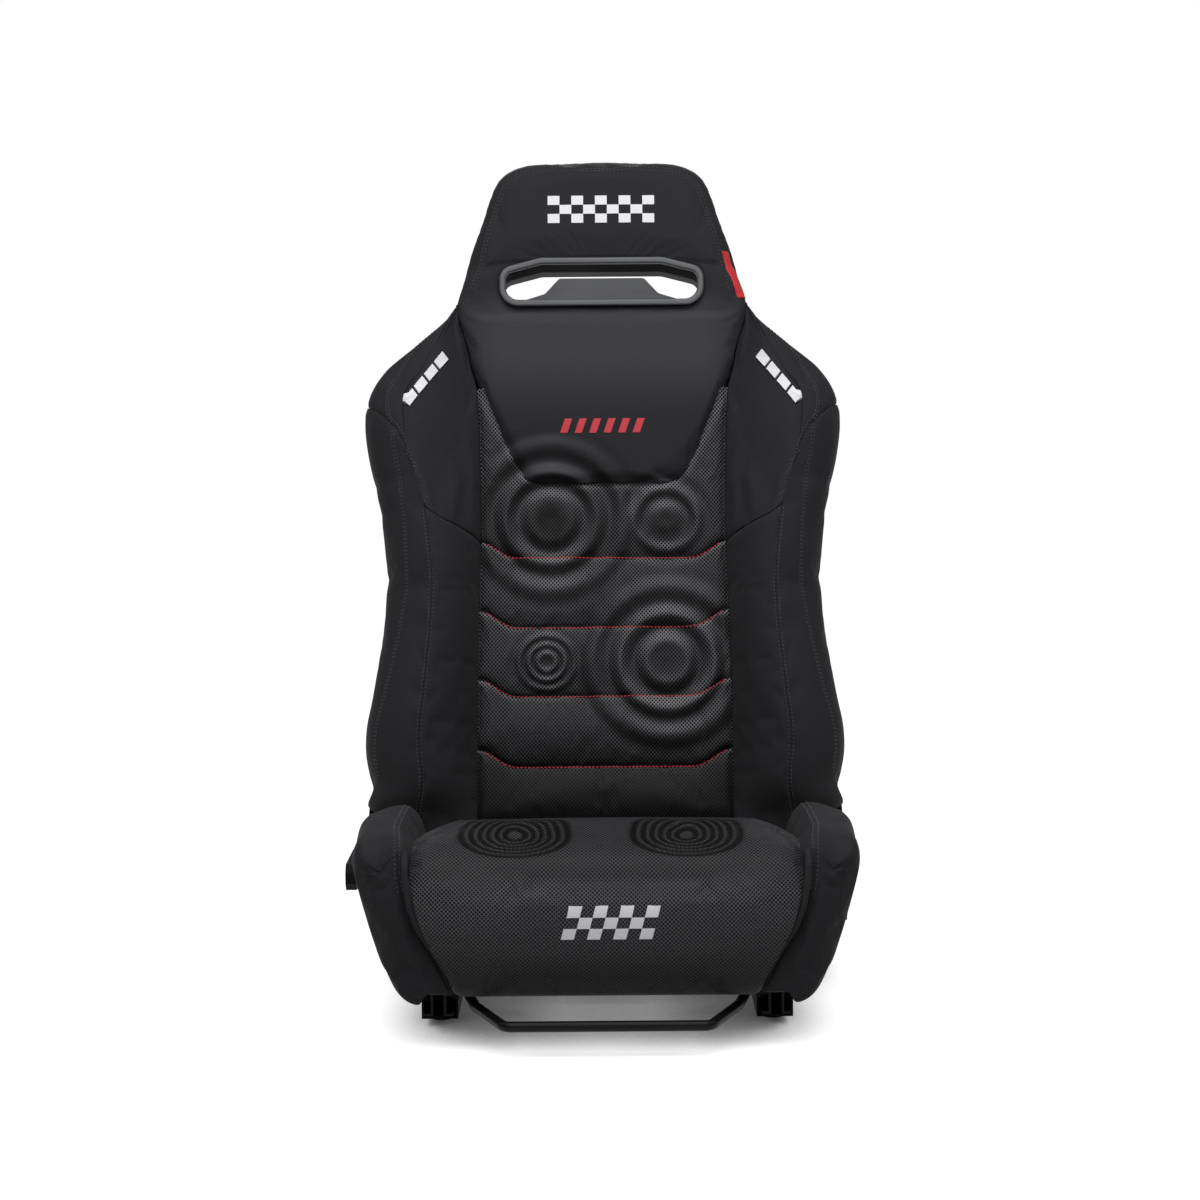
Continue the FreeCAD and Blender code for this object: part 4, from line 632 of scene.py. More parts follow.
def stitchRow(name, path, normals, material, **changes):
    # Short rounded thread ends laid along a line in metres, each dipping into the cloth at both ends.
    size = {**stitchSize, **changes}
    walked = lengthAlong(path)
    count = max(2, int(walked[-1] * 1000 / size["pitch"]))
    stops = (np.arange(count) + 0.5) * walked[-1] / count
    centre = pointsAt(path, walked, stops)
    along = unit(pointsAt(path, walked, stops + 0.001) - pointsAt(path, walked, stops - 0.001))
    up = unit(pointsAt(normals, walked, stops))
    side = unit(np.cross(along, up))
    angle = np.arange(size["sides"]) / size["sides"] * 2 * math.pi
    spread = np.cos(angle)[None, :, None] * side[:, None] + np.sin(angle)[None, :, None] * up[:, None]
    rings = []
    # Each ring of a stitch: its place as a share of the length, its width and its lift
    for place, width, lift in [(-0.5, 0.25, -0.7), (-0.3, 1.0, 0.1), (0.3, 1.0, 0.1), (0.5, 0.25, -0.7)]:
        ring = centre + along * (place * size["length"] / 1000) + up * (lift * size["radius"] / 1000)
        rings.append(ring[:, None] + spread * (width * size["radius"] / 1000))
    rings = np.stack(rings, axis=1)
    rows, sides = rings.shape[1:3]
    one = list(gridFaces(rows, sides, wrapColumns=True))
    ends = [list(range(sides)), list(range((rows - 1) * sides, rows * sides))]
    faces = []
    for start in range(0, count * rows * sides, rows * sides):
        faces += [face + start for face in one]
        faces += [[number + start for number in end] for end in ends]
    return addPiece(name, rings, faces, material)


def lineAt(points, walked, target):
    # The line across a grid's rows at a target distance in each row.
    low = np.clip((walked <= target[:, None]).sum(axis=1) - 1, 0, points.shape[1] - 2)
    row = np.arange(len(points))
    span = walked[row, low + 1] - walked[row, low]
    share = ((target - walked[row, low]) / np.maximum(span, 1e-9))[:, None]
    return points[row, low] * (1 - share) + points[row, low + 1] * share


def laidOn(obj, places, bend=0.0, reach=0.03):
    # Drops points onto a cover: each goes to the mean tangent plane of its four nearest vertices.
    # Only vertices within reach of the places count, in metres.
    # A bend of 0.5 moves it halfway to those vertices' mean height, where a curved cover really runs.
    count = len(obj.data.vertices)
    spots, facings = np.zeros(count * 3), np.zeros(count * 3)
    obj.data.vertices.foreach_get("co", spots)
    obj.data.vertex_normals.foreach_get("vector", facings)
    spots, facings = spots.reshape(-1, 3), facings.reshape(-1, 3)
    flat = np.asarray(places, float).reshape(-1, 3)
    near = np.all((spots > flat.min(axis=0) - reach) & (spots < flat.max(axis=0) + reach), axis=1)
    spots, facings = spots[near], facings[near]
    gaps = (flat**2).sum(axis=1)[:, None] + (spots**2).sum(axis=1)[None] - 2 * flat @ spots.T
    four = np.argpartition(gaps, 4, axis=1)[:, :4]
    weight = 1 / (np.sqrt(np.maximum(np.take_along_axis(gaps, four, 1), 0)) + 1e-4)[..., None]
    above = ((flat[:, None] - spots[four]) * facings[four]).sum(axis=-1, keepdims=True)
    landed = ((flat[:, None] - above * facings[four]) * weight).sum(axis=1) / weight.sum(axis=1)
    facing = unit((facings[four] * weight).sum(axis=1))
    height = ((spots[four] - landed[:, None]) * facing[:, None]).sum(axis=-1, keepdims=True)
    landed = landed + bend * facing * (height * weight).sum(axis=1) / weight.sum(axis=1)
    shape = np.asarray(places).shape
    return landed.reshape(shape), facing.reshape(shape)


def eased(line, reach=4):
    # Moving mean along a line of points, its ends kept.
    size = 2 * reach + 1
    longer = np.concatenate([np.repeat(line[:1], reach, axis=0), line, np.repeat(line[-1:], reach, axis=0)])
    total = np.cumsum(np.concatenate([np.zeros((1, 3)), longer]), axis=0)
    return (total[size:] - total[:-size]) / size


def stitchOn(name, obj, line, body, slot, material, spread=(0.0,), **changes):
    # Rows of stitches laid on a cover beside a line in metres; spread is each row's step aside in mm.
    path, facing = laidOn(obj, eased(evenly(np.asarray(line, float), 160)))
    aside = unit(np.cross(unit(np.gradient(path, axis=0)), facing))
    for number, step in enumerate(spread):
        moved, turned = laidOn(obj, eased(path + aside * (step / 1000)))
        row = stitchRow(f"{name}_{number + 1}", moved, turned, material, **changes)
        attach(row, body)


def clothCover(name, points, faces, uv, body, *nodes, paintedShading=None):
    # A padded cloth cover, subdivided once, that stands for the foam in the nodes.
    cover = addPiece(name, points, faces, finishes["cloth"], uv)
    # Painted light and shade, where given
    if paintedShading is not None:
        markPaintedShading(cover, paintedShading)
    subdivide(cover)
    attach(cover, body)
    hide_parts(*nodes)
    return cover


def markPaintedShading(obj, values):
    # Stores the painted light and shade of the cloth at each vertex for its material.
    layer = obj.data.attributes.new("paintedShading", "FLOAT", "POINT")
    layer.data.foreach_set("value", np.asarray(values, float).ravel())


# The grid of points under each raised shape, how high it stands and how deep its edge goes, in mm
tileSize = {"side": 6, "lift": 0.45, "depth": 2.5}


def raisedTiles(name, obj, tiles, body, material, lift=tileSize["lift"]):
    # Thin raised shapes on a cover: each tile is four corners, laid as a small grid with its edge turned in.
    side = tileSize["side"]
    steps = np.linspace(0, 1, side)
    across, along = np.meshgrid(steps, steps)
    across, along = across[None, ..., None], along[None, ..., None]
    corner = np.asarray(tiles, float)[:, None, None]
    low = corner[..., 0, :] * (1 - across) + corner[..., 1, :] * across
    high = corner[..., 3, :] * (1 - across) + corner[..., 2, :] * across
    top, facing = laidOn(obj, low * (1 - along) + high * along, 0.5)
    rim, faces = padFaces(side, side)
    top, facing = top.reshape(len(top), side * side, 3), facing.reshape(len(top), side * side, 3)
    skirt = top[:, rim] - facing[:, rim] * (tileSize["depth"] / 1000)
    points = np.concatenate([top + facing * (lift / 1000), skirt], axis=1)
    size = points.shape[1]
    every = (faces[None] + (np.arange(len(points)) * size)[:, None, None]).reshape(-1, 4)
    patch = addPiece(name, points, every, material)
    patch.data.polygons.foreach_set("use_smooth", np.zeros(len(patch.data.polygons), bool))
    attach(patch, body)


def padFaces(rows, columns):
    # A front grid, a skirt round it, and a ladder that closes the back.
    number = np.arange(rows * columns).reshape(rows, columns)
    rim = np.concatenate([number[0, :-1], number[:-1, -1], number[-1, :0:-1], number[:0:-1, 0]])
    skirt = np.arange(len(rim)) + rows * columns
    sides = np.stack([rim, np.roll(rim, -1), np.roll(skirt, -1), skirt], -1)
    return rim, np.concatenate([gridFaces(rows, columns), sides, ladderFaces(skirt)])


def onShoulder(corners):
    # Adds to (across, up) places how far out the side surface stands there.
    shares = np.linspace(0.02, 0.62, 160)
    flat = corners.reshape(-1, 2)
    section = sideSurface(shares[None], flat[:, 1:])
    out = [np.interp(place, row[:, 0], row[:, 2]) for place, row in zip(flat[:, 0], section)]
    return np.concatenate([corners, np.array(out).reshape(corners.shape[:-1] + (1,))], -1)


# A broken white band along each shoulder, from low outside to high inside
bandSize = {
    "from": (223.0, 515.5),
    "to": (187.0, 563.5),
    "count": 4,
    "wide": 11.0,
    "long": 16.5,
    "slant": 0.22,
    "lift": 1.0,
}
bandFrom, bandTo = np.array(bandSize["from"]), np.array(bandSize["to"])
bandMiddle = bandFrom + (bandTo - bandFrom) * np.linspace(0, 1, bandSize["count"])[:, None]
bandWay = unit(bandTo - bandFrom) / 2
bandAlong = bandWay * bandSize["long"]
bandAcross = (bandWay[::-1] * [1, -1] + bandWay * bandSize["slant"]) * bandSize["wide"]
bandCorners = [-bandAcross - bandAlong, bandAcross - bandAlong]
bandCorners = bandMiddle[:, None] + np.stack(bandCorners + [bandAcross + bandAlong, bandAlong - bandAcross])

share, seamUp, straight, crestColumn = seamColumns()
mirror = np.array([-1.0, 1.0, 1.0])


def settledSide(low, high, rowCount, seams):
    # One cover between two lines of (share, up), settled with its seam columns held.
    rows = np.linspace(0, 1, rowCount)[:, None]
    shares = low[0] * (1 - rows) + high[0] * rows
    rings = closeSection(sideSurface(shares, low[1] * (1 - rows) + high[1] * rows))
    held = np.zeros(rings.shape[:2], bool)
    held[:, [0, *seams]] = True
    held[:, sideGrid["columns"] - 2 :] = True
    held[0] = held[-1] = True
    faces = ringFaces(*rings.shape[:2])
    settled = settleCover(onBack(rings), faces, held, pressure=3.0, cap=6)
    return settled.reshape(rings.shape) * 1000


# The side cover reaches lower between the cushion's bolsters than outside them
hemLine = backSize["hemInside"] + (backSize["hem"] - backSize["hemInside"]) * smoothStep(0.38, 0.52, straight)
sideCover = settledSide((straight, hemLine), (share, seamUp), sideGrid["sideRows"], [crestColumn])
sideCover = seamGroove(sideCover, crestColumn, depth=2.2, width=3.0, loft=1.2)
sideCover = sewnEnd(roundEnd(sideCover, radius=9, end=0), end=1)
wingCover = settledSide((share, seamUp), (straight, backSize["wingTop"]), sideGrid["wingRows"], [])
wingCover = sewnEnd(sewnEnd(wingCover, end=0), end=1, depth=0.6)
sideFaces, sideUv = ringFaces(*sideCover.shape[:2]), clothUv(sideCover)
wingFaces, wingUv = ringFaces(*wingCover.shape[:2]), clothUv(wingCover)
sideCover, wingCover = sideCover / 1000, wingCover / 1000
rimColumn = int(np.searchsorted(straight, sideGrid["rimShare"]))
# How far each row of black stitches lies beside its seam
stitchBeside = {"crest": (-2.9, 2.9), "rim": (-1.6, 1.6), "wing": 4.5}


def backStitches(name, cover, line, spread):
    stitchOn(name, cover, line, "backrest", "smooth_fabric", finishes["blackThread"], spread)


for sideName, side in (("left", -1), ("right", 1)):
    turned = mirror if side < 0 else 1.0
    foam = f"side_bolster_{sideName}"
    cover = clothCover(f"backSideCover_{sideName}", sideCover * turned, sideFaces, sideUv, "backrest", foam)
    for column, kind in ((crestColumn, "crest"), (rimColumn, "rim")):
        line = sideCover[5:-1, column] * turned
        backStitches(f"sideStitch{column}_{sideName}", cover, line, stitchBeside[kind])
    line = sideCover[-3, 4 : rimColumn + 2] * turned
    backStitches(f"wingSeamStitch_{sideName}", cover, line, (-stitchBeside["wing"] * side,))
    foam = f"shoulder_pad_{sideName}"
    cover = clothCover(f"shoulderCover_{sideName}", wingCover * turned, wingFaces, wingUv, "backrest", foam)
    line = wingCover[2, crestColumn : rimColumn + 2] * turned
    backStitches(f"wingStitch_{sideName}", cover, line, (stitchBeside["wing"] * side,))
    line = wingCover[1:-4, rimColumn] * turned
    backStitches(f"wingRimStitch_{sideName}", cover, line, stitchBeside["rim"])
    tiles = onBack(onShoulder(bandCorners)) * turned
    name = f"shoulderBand_{sideName}"
    raisedTiles(name, cover, tiles, "backrest", finishes["whiteThread"], bandSize["lift"])
print("side covers made")

# Channelled mesh panel down the middle of the backrest

panelSize = {
    "low": 8.0,
    "high": 534.0,
    "seams": [86.0, 168.0, 249.0, 331.0],
    "tipRise": 20.0,
    "tipStart": 103.0,
    "tipEnd": 147.0,
    "seamOut": 33.5,
    "loft": 7.0,
    "roll": 16.0,
    "seamFlat": 2.4,
    "meshStretch": 0.86,
    "edgeRise": 3.5,
    "turnUnder": 26,
    "turnReach": 34,
    "tongueDip": 2.6,
    "tongueReach": 3.6,
    # Inside a large ring the pillows keep this share of their swell, and all of it from the outer distance on
    "ringSwell": 0.22,
    "ringInner": 66,
    "ringOuter": 104,
    "crowding": 1.1,
    "columns": 61,
    "rowsEach": 15,
    "fineColumns": 176,
    "fineRows": 250,
}
tongueSize = {
    "half": [
        (416, 66), (418.4, 80), (424, 91), (434, 99.2), (449, 107.8), (470, 119), (526, 142.5),
        (561, 154.8),
        (585, 160), (625, 171), (630, 172.5),
    ],
    "low": 416.0,
    "corner": 72.0,
}
# Rings pressed into the cover over each vibration unit: the centre, then (distance, height) keys and
# (distance, painted shading) keys, where 1 is a full painted highlight and -1 full painted shade
rippleSize = [
    (
        (-61.0, 377.0),
        [
            (0, 1.8), (18, 2.6), (25, 2.2), (39, -3.2), (53, 3.2), (68, -2.6), (85, 2.2), (101, -0.6),
            (112, 0),
        ],
        [(0, -0.8), (16, -0.65), (27, -0.05), (53, 0.0), (80, -0.08), (112, 0)],
    ),
    (
        (73.0, 376.0),
        [(0, 1.0), (10, 1.6), (26, -1.8), (36, 1.6), (47, -1.2), (58, 0)],
        [(0, -0.6), (8, -0.5), (19, 0.2), (27, -0.15), (37, 0.2), (48, 0.0), (58, 0)],
    ),
    (
        (-67.0, 208.0),
        [
            (0, -1.2), (5, -0.8), (10.5, 1.3), (15.6, -1.0), (20.8, 1.5), (26, -0.9), (31.5, 1.2),
            (38, -0.5),
            (46, 0),
        ],
        [
            (0, -0.5), (4, -0.3), (10.5, 0.4), (15.6, -0.25), (20.8, 0.42), (26, -0.25), (31.5, 0.12),
            (40, 0),
            (46, 0),
        ],
    ),
    (
        (73.0, 208.0),
        [
            (0, 0.8), (14, 1.4), (25, 2.6), (38, -3.0), (56, 3.4), (69, -2.0), (87, 2.6), (104, -0.6),
            (116, 0),
        ],
        [
            (0, -0.4), (14, -0.15), (29, 0.3), (38, 0.0), (52, 0.42), (67, 0.0), (78, 0.15), (96, -0.05),
            (112, 0),
        ],
    ),
]


def ripples(across, up, part=1, rings=rippleSize):
    # Sum over the rings of their height (part 1) or painted light and shade (part 2) at each distance from
    # their centres.
    total = 0.0 * across
    for ring in rings:
        total = total + through(ring[part], np.hypot(across - ring[0][0], up - ring[0][1]))
    return total


# How much painted highlight (above 0) or painted shade (below 0) each form puts on the cloth, and over what
# slope or distance in mm
paintedShadingSize = {
    "slopeUp": 0.6,
    "fullUp": 0.45,
    "slopeAside": 0.35,
    "fullAside": 0.4,
    # low is painted shade at the foot of the panel; the seam, tongue and neck sizes are painted highlights
    # and shade
    "low": 0.85,
    "seamHighlight": 0.8,
    "seamShade": -0.6,
    "tongue": 0.4,
    "neck": 0.33,
    "seamReach": 4.5,
    "overReach": 7,
}


def paintedRippleShading(across, up):
    # Painted light and shade for the rings: a painted highlight on slopes that face up, as if lit from above,
    # and painted shade on those that face down or aside.
    facingUp = ripples(across, up - 0.5) - ripples(across, up + 0.5)
    facingAside = np.abs(ripples(across + 0.5, up) - ripples(across - 0.5, up))
    level = ripples(across, up, 2) + paintedShadingSize["slopeUp"] * np.clip(facingUp / paintedShadingSize["fullUp"], -1, 1)
    return level - paintedShadingSize["slopeAside"] * np.clip(facingAside / paintedShadingSize["fullAside"], 0, 1)


def channelSeam(number, across):
    # A sewn channel line: level in the middle, with both ends turned up.
    rise = smoothStep(panelSize["tipStart"], panelSize["tipEnd"], np.abs(across)) * panelSize["tipRise"]
    return panelSize["seams"][number] + rise


def outsideTongue(across, up):
    # Distance from the upper panel's outline, positive outside it.
    half = through(tongueSize["half"], up)
    beside = (np.abs(across) - half) * 0.9
    below = tongueSize["low"] - up
    corner = np.hypot(np.maximum(np.abs(across) - tongueSize["corner"], 0), np.maximum(below, 0))
    return np.where(below > 0, corner, beside)


def meshPanel(across, up, below, above):
    # The panel's height: flat pillows that roll down into every seam and into both sides.
    half = through(backSize["innerHalf"], up)
    near = np.minimum(up - below, above - up)
    near = np.minimum(near, (half - np.abs(across)) * 1.5)
    share = np.clip((near - panelSize["seamFlat"]) / panelSize["roll"], 0, 1)
    swell = 0.8 * np.sqrt(np.maximum(1 - (1 - share) ** 2, 0))
    swell = swell + 0.2 * np.sin(np.clip(near / 40, 0, 1) * math.pi / 2)
    for ring in (rippleSize[0], rippleSize[3]):
        distance = np.hypot(across - ring[0][0], up - ring[0][1])
        beside = smoothStep(panelSize["ringInner"], panelSize["ringOuter"], distance)
        swell = 1 - (1 - swell) * (panelSize["ringSwell"] + (1 - panelSize["ringSwell"]) * beside)
    edge = smoothStep(0.7, 1.0, np.abs(across) / half) * panelSize["edgeRise"]
    turn = np.clip(1 - (up - panelSize["low"]) / panelSize["turnReach"], 0, 1)
    turnUnder = panelSize["turnUnder"] * (1 - np.sqrt(1 - turn**2))
    outside = np.maximum(outsideTongue(across, up), 0)
    tongue = panelSize["tongueDip"] * bell(outside, panelSize["tongueReach"])
    return panelSize["seamOut"] + edge + panelSize["loft"] * swell - turnUnder - tongue


def backPad(front, out, cap, pressure, extraHeld):
    # A closed pad on the backrest: its front grid, skirt and back, settled as a sewn cover.
    rows, columns = front.shape[:2]
    rim, faces = padFaces(rows, columns)
    flat = front.reshape(-1, 3)
    skirt = flat[rim].copy()
    skirt[:, 2] = out
    points = onBack(np.concatenate([flat, skirt]))
    held = np.zeros(len(points), bool)
    held[rim] = True
    held[rows * columns :] = True
    held[: rows * columns] |= extraHeld.ravel()
    return settleCover(points, faces, held, pressure, cap)


def panelFront(rowsEach, stops):
    # The panel's front between its seams; also the rows that the seams fall on.
    grids, seamRows = [], []
    seamCount = len(panelSize["seams"])
    for number in range(seamCount + 1):
        last = number == seamCount
        rows = np.linspace(0, 1, rowsEach * (2 if last else 1) + 1)[:, None]
        rows = rows if last else 0.5 - 0.5 * np.cos(rows * math.pi)
        across = stops[None] * (backSize["innerHalf"][1][1] - 1.0)
        below = channelSeam(number - 1, across) if number else 0 * across + panelSize["low"]
        above = 0 * across + panelSize["high"] if last else channelSeam(number, across)
        up = below + (above - below) * rows
        across = stops[None] * (through(backSize["innerHalf"], up) + 0.5)
        below = channelSeam(number - 1, across) if number else 0 * across - 60
        above = 0 * across + 900 if last else channelSeam(number, across)
        up = np.clip(up, below, above)
        grid = stack(across, up, meshPanel(across, up, below, above))
        if number:
            seamRows.append(sum(len(part) for part in grids) - 1)
            grid = grid[1:]
        grids.append(grid)
    return np.concatenate(grids), seamRows


def crowded(count):
    # Places from -1 to 1 that lie closer near both ends.
    places = np.linspace(-1, 1, count)
    return np.sign(places) * (1 - (1 - np.abs(places)) ** panelSize["crowding"])


def paintedKnitShading(front):
    # Painted light and shade on the panel's knit: its rings, painted highlights and shade at the pillows'
    # seams, a painted highlight round the upper panel's edge, and painted shade low down.
    across, up = front[..., 0], front[..., 1]
    paintedShading = paintedRippleShading(across, up) - paintedShadingSize["low"] * (1 - smoothStep(10, 190, up))
    bend = 0.5 + 0.5 * smoothStep(90, 130, np.abs(across))
    for number in range(len(panelSize["seams"])):
        # Painted highlight on each pillow just under the seam above it, where it faces up, and painted shade
        # just over the one below
        over = up - channelSeam(number, across)
        under = paintedShadingSize["seamHighlight"] * bell(over, paintedShadingSize["seamReach"])
        above = paintedShadingSize["seamShade"] * bell(over, paintedShadingSize["overReach"])
        paintedShading = paintedShading + bend * np.where(over < 0, under, above)
    return paintedShading + paintedShadingSize["tongue"] * bell(outsideTongue(across, up), paintedShadingSize["seamReach"])


# The panel settles on a coarse grid; how far it swelled is added to a fine one, which also gets the rings
front, seamRows = panelFront(panelSize["rowsEach"], crowded(panelSize["columns"]))
held = np.zeros(front.shape[:2], bool)
held[seamRows] = True
held |= outsideTongue(front[..., 0], front[..., 1]) < 4
settled = backPad(front, out=2.0, cap=4, pressure=2.0, extraHeld=held)
swollen = settled[: front.shape[0] * front.shape[1]].reshape(front.shape) - onBack(front)
fineEach = panelSize["fineRows"] // (len(panelSize["seams"]) + 2)
front, seamRows = panelFront(fineEach, crowded(panelSize["fineColumns"]))
swollen = finer(swollen, *[np.linspace(0, old - 1, new) for old, new in zip(swollen.shape, front.shape[:2])])
fade = smoothStep(0, 14, through(backSize["innerHalf"], front[..., 1]) - np.abs(front[..., 0]))
front[..., 2] += ripples(front[..., 0], front[..., 1]) * fade
meshGrid = onBack(front) + swollen
rim, faces = padFaces(*front.shape[:2])
skirt = front.reshape(-1, 3)[rim] * [1, 1, 0] + [0, 0, 2.0]
points = np.concatenate([meshGrid.reshape(-1, 3), onBack(skirt)])
uv = (front[..., :2] * [1, panelSize["meshStretch"]]).reshape(-1, 2) / 1000
panel = addPiece("backMeshPanel", points, faces, finishes["mesh"], np.concatenate([uv, uv[rim]]))
# Painted light and shade on the knit, the skirt taking its rim's values
paintedShading = paintedKnitShading(front).ravel()
markPaintedShading(panel, np.concatenate([paintedShading, paintedShading[rim]]))
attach(panel, "backrest")
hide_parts("centre_pad")
redStitch = {"radius": 0.85, "length": 3.4}
for number, row in enumerate(seamRows):
    line = meshGrid[row, 3:-3]
    name = f"channelStitch_{number + 1}"
    stitchOn(name, panel, line, "backrest", "red_fabric", finishes["redThread"], **redStitch)
print("mesh panel made")

# Head and upper panel in one cover: rings from the opening out to the rim and round to the back


def roundedOutline(corners, steps=10):
    # A closed outline from (across, up, radius) corners, each rounded by an arc.
    corners = np.array(corners, float)
    spots, radii = corners[:, :2], corners[:, 2]
    before = unit(np.roll(spots, 1, axis=0) - spots)
    after = unit(np.roll(spots, -1, axis=0) - spots)
    half = np.arccos(np.clip((before * after).sum(axis=1), -1, 1)) / 2
    centre = spots + unit(before + after) * (radii / np.sin(half))[:, None]
    start = spots + before * (radii / np.tan(half))[:, None] - centre
    finish = spots + after * (radii / np.tan(half))[:, None] - centre
    shares = np.linspace(0, 1, steps)[None, :, None]
    arc = start[:, None] * (1 - shares) + finish[:, None] * shares
    arc = unit(arc) * radii[:, None, None] + centre[:, None]
    return arc.reshape(-1, 2)


def mirrored(corners):
    # Right-hand corners, bottom to top, followed by their mirror images.
    return corners + [(-across, up, radius) for across, up, radius in reversed(corners)]


openingSize = {"corners": [(119, 632, 21), (119, 674.5, 15), (72, 687, 30)], "count": 200}
headSize = {
    # Half widths and heights of the cover's outline, from the middle of its lower edge to the top
    "outline": [
        (0, 416.5), (50, 416.5), (68, 416.9), (80, 418.8), (91, 424), (99.5, 434), (108.5, 450), (119, 470),
        (142.5, 526), (154.8, 561), (160.3, 585), (169.5, 618), (171, 630), (169.5, 640), (165, 654),
        (159.2, 675), (151.6, 705), (145, 726), (139.8, 741), (135.6, 756), (130.8, 771), (124.5, 785),
        (116.5, 795), (104, 803), (88, 808.3), (60, 811), (0, 812.2),
    ],
    "middle": 660.0,
    "headOut": 48.5,
    "panelOut": 43.0,
    "seamOut": 38.5,
    "edgeRadius": 25.0,
    "seamRadius": 1.6,
    "stitchInset": 13.0,
    "neckLow": 632,
    "neckHigh": 690,
    "tuckReach": 7,
    "crown": 2.0,
    "crownHalf": 165,
    "grooveDepth": 1.6,
    "grooveReach": 2.2,
    "lipDepth": 3.0,
    "lipReach": 4,
    "crowding": 1.35,
    "count": 300,
    "faceRows": 40,
    "wallRows": 6,
}
halfOutline = np.array(headSize["outline"], float)
wholeOutline = smoothLoop(np.concatenate([halfOutline, halfOutline[-2:0:-1] * [-1, 1]]), 2400)
opening = roundedOutline(mirrored(openingSize["corners"]), steps=14)


def outwardOf(outline):
    # Unit directions that point out of a closed outline.
    along = np.roll(outline, -1, axis=0) - np.roll(outline, 1, axis=0)
    away = unit(np.stack([along[:, 1], -along[:, 0]], -1))
    area = np.sum(outline[:, 0] * np.roll(outline[:, 1], -1) - outline[:, 1] * np.roll(outline[:, 0], -1))
    return away if area > 0 else -away


def farFrom(points, outline):
    # Distance from each point to the nearest point of an outline.
    gaps = points.reshape(-1, 1, 2) - outline[None]
    return np.sqrt((gaps**2).sum(axis=-1).min(axis=1)).reshape(points.shape[:-1])


outer = evenly(wholeOutline, headSize["count"], closed=True)
angles = np.arctan2(outer[:, 1] - headSize["middle"], outer[:, 0])
dense = evenly(opening, 2000, closed=True)
openAngles = np.arctan2(dense[:, 1] - headSize["middle"], dense[:, 0])
inner = np.stack([np.interp(angles, openAngles, column, period=2 * math.pi) for column in dense.T], -1)
inner = inner + outwardOf(inner) * 0.4
shares = np.linspace(0, 1, headSize["faceRows"])[:, None, None]
shares = 1 - (1 - shares) ** headSize["crowding"]
flatPoints = inner[None] * (1 - shares) + outer[None] * shares
fineOuter = evenly(wholeOutline, 1400, closed=True)
toRim = farFrom(flatPoints, fineOuter)
toOpening = farFrom(flatPoints, dense[::4])
# The rim is full round the head and tight along the seams below the neck
overNeck = smoothStep(headSize["neckLow"], headSize["neckHigh"], outer[:, 1])
rimRadius = headSize["seamRadius"] + (headSize["edgeRadius"] - headSize["seamRadius"]) * overNeck
across, up = flatPoints[..., 0], flatPoints[..., 1]
drop = quarterDrop(toRim, rimRadius)
tuck = (headSize["panelOut"] - headSize["seamOut"]) * bell(toRim, headSize["tuckReach"]) * (1 - overNeck)
level = headSize["panelOut"] + (headSize["headOut"] - headSize["panelOut"]) * smoothStep(590, 690, up)
crown = headSize["crown"] * (1 - (across / headSize["crownHalf"]) ** 2)
groove = headSize["grooveDepth"] * bell(toRim - headSize["stitchInset"], headSize["grooveReach"])
groove = groove * smoothStep(636, 660, up)
lip = headSize["lipDepth"] * bell(toOpening, headSize["lipReach"])
out = level + crown + ripples(across, up) - drop - tuck - groove - lip
face = np.concatenate([flatPoints, out[..., None]], -1)
shares = np.linspace(0, 1, headSize["wallRows"])[1:, None]
sideOut = face[-1, :, 2] * (1 - shares) + 0.8 * shares
wall = np.concatenate([np.broadcast_to(outer, sideOut.shape + (2,)), sideOut[..., None]], -1)
wall[..., :2] -= outwardOf(outer) * (2.5 * smoothStep(0.4, 1, shares))[..., None]
shares = np.linspace(0, 1, 7)[:-1, None]
innerOut = 0.8 + (face[0, :, 2] - 0.8) * shares
sleeve = np.concatenate([np.broadcast_to(inner, innerOut.shape + (2,)), innerOut[..., None]], -1)
torus = np.concatenate([sleeve, face, wall])
headFaces = gridFaces(len(torus), headSize["count"], wrapRows=True, wrapColumns=True)
held = np.zeros(torus.shape[:2], bool)
held[:8] = True
held[-3:] = True
settled = settleCover(onBack(torus), headFaces, held, pressure=2.0, cap=4).reshape(torus.shape)
headUv = stack(torus[..., 0], torus[..., 1]) / 1000
across, up, out = np.moveaxis(torus, -1, 0)
# Painted highlight: the neck is drawn paler than the wings beside it, as it faces up into the light; the
# rings get painted light and shade too
neckHighlight = smoothStep(490, 580, up) - smoothStep(622, 660, up)
neckHighlight = paintedShadingSize["neck"] * neckHighlight * (1 - smoothStep(110, 190, np.abs(across)))
paintedShading = (0.9 * paintedRippleShading(across, up) + neckHighlight) * (out > 30)
foam = ["headrest_pad", "upper_panel"]
head = clothCover("headPadCover", settled, headFaces, headUv, "backrest", *foam, paintedShading=paintedShading)
headGrid = settled[len(sleeve) : len(sleeve) + len(face)]
around = np.flatnonzero(outer[:, 1] > 640)
around = around[np.argsort(np.arctan2(-outer[around, 0], outer[around, 1] - headSize["middle"]))]
line = lineAt(np.swapaxes(headGrid, 0, 1), -toRim.T, np.full(headSize["count"], -headSize["stitchInset"]))
backStitches("headStitch", head, line[around], (-2.2, 2.2))


def slantedTiles(left, low, wide, high, columns, rows, slant):
    # Corners (across, up) of every second cell of a slanted checker.
    column, row = np.meshgrid(np.arange(columns), np.arange(rows))
    kept = (column + row) % 2 == 0
    column, row = column[kept][:, None], row[kept][:, None]
    across = (column + np.array([0, 1, 1, 0])) * wide
    up = (row + np.array([0, 0, 1, 1])) * high
    return left + across + up * slant, low + up


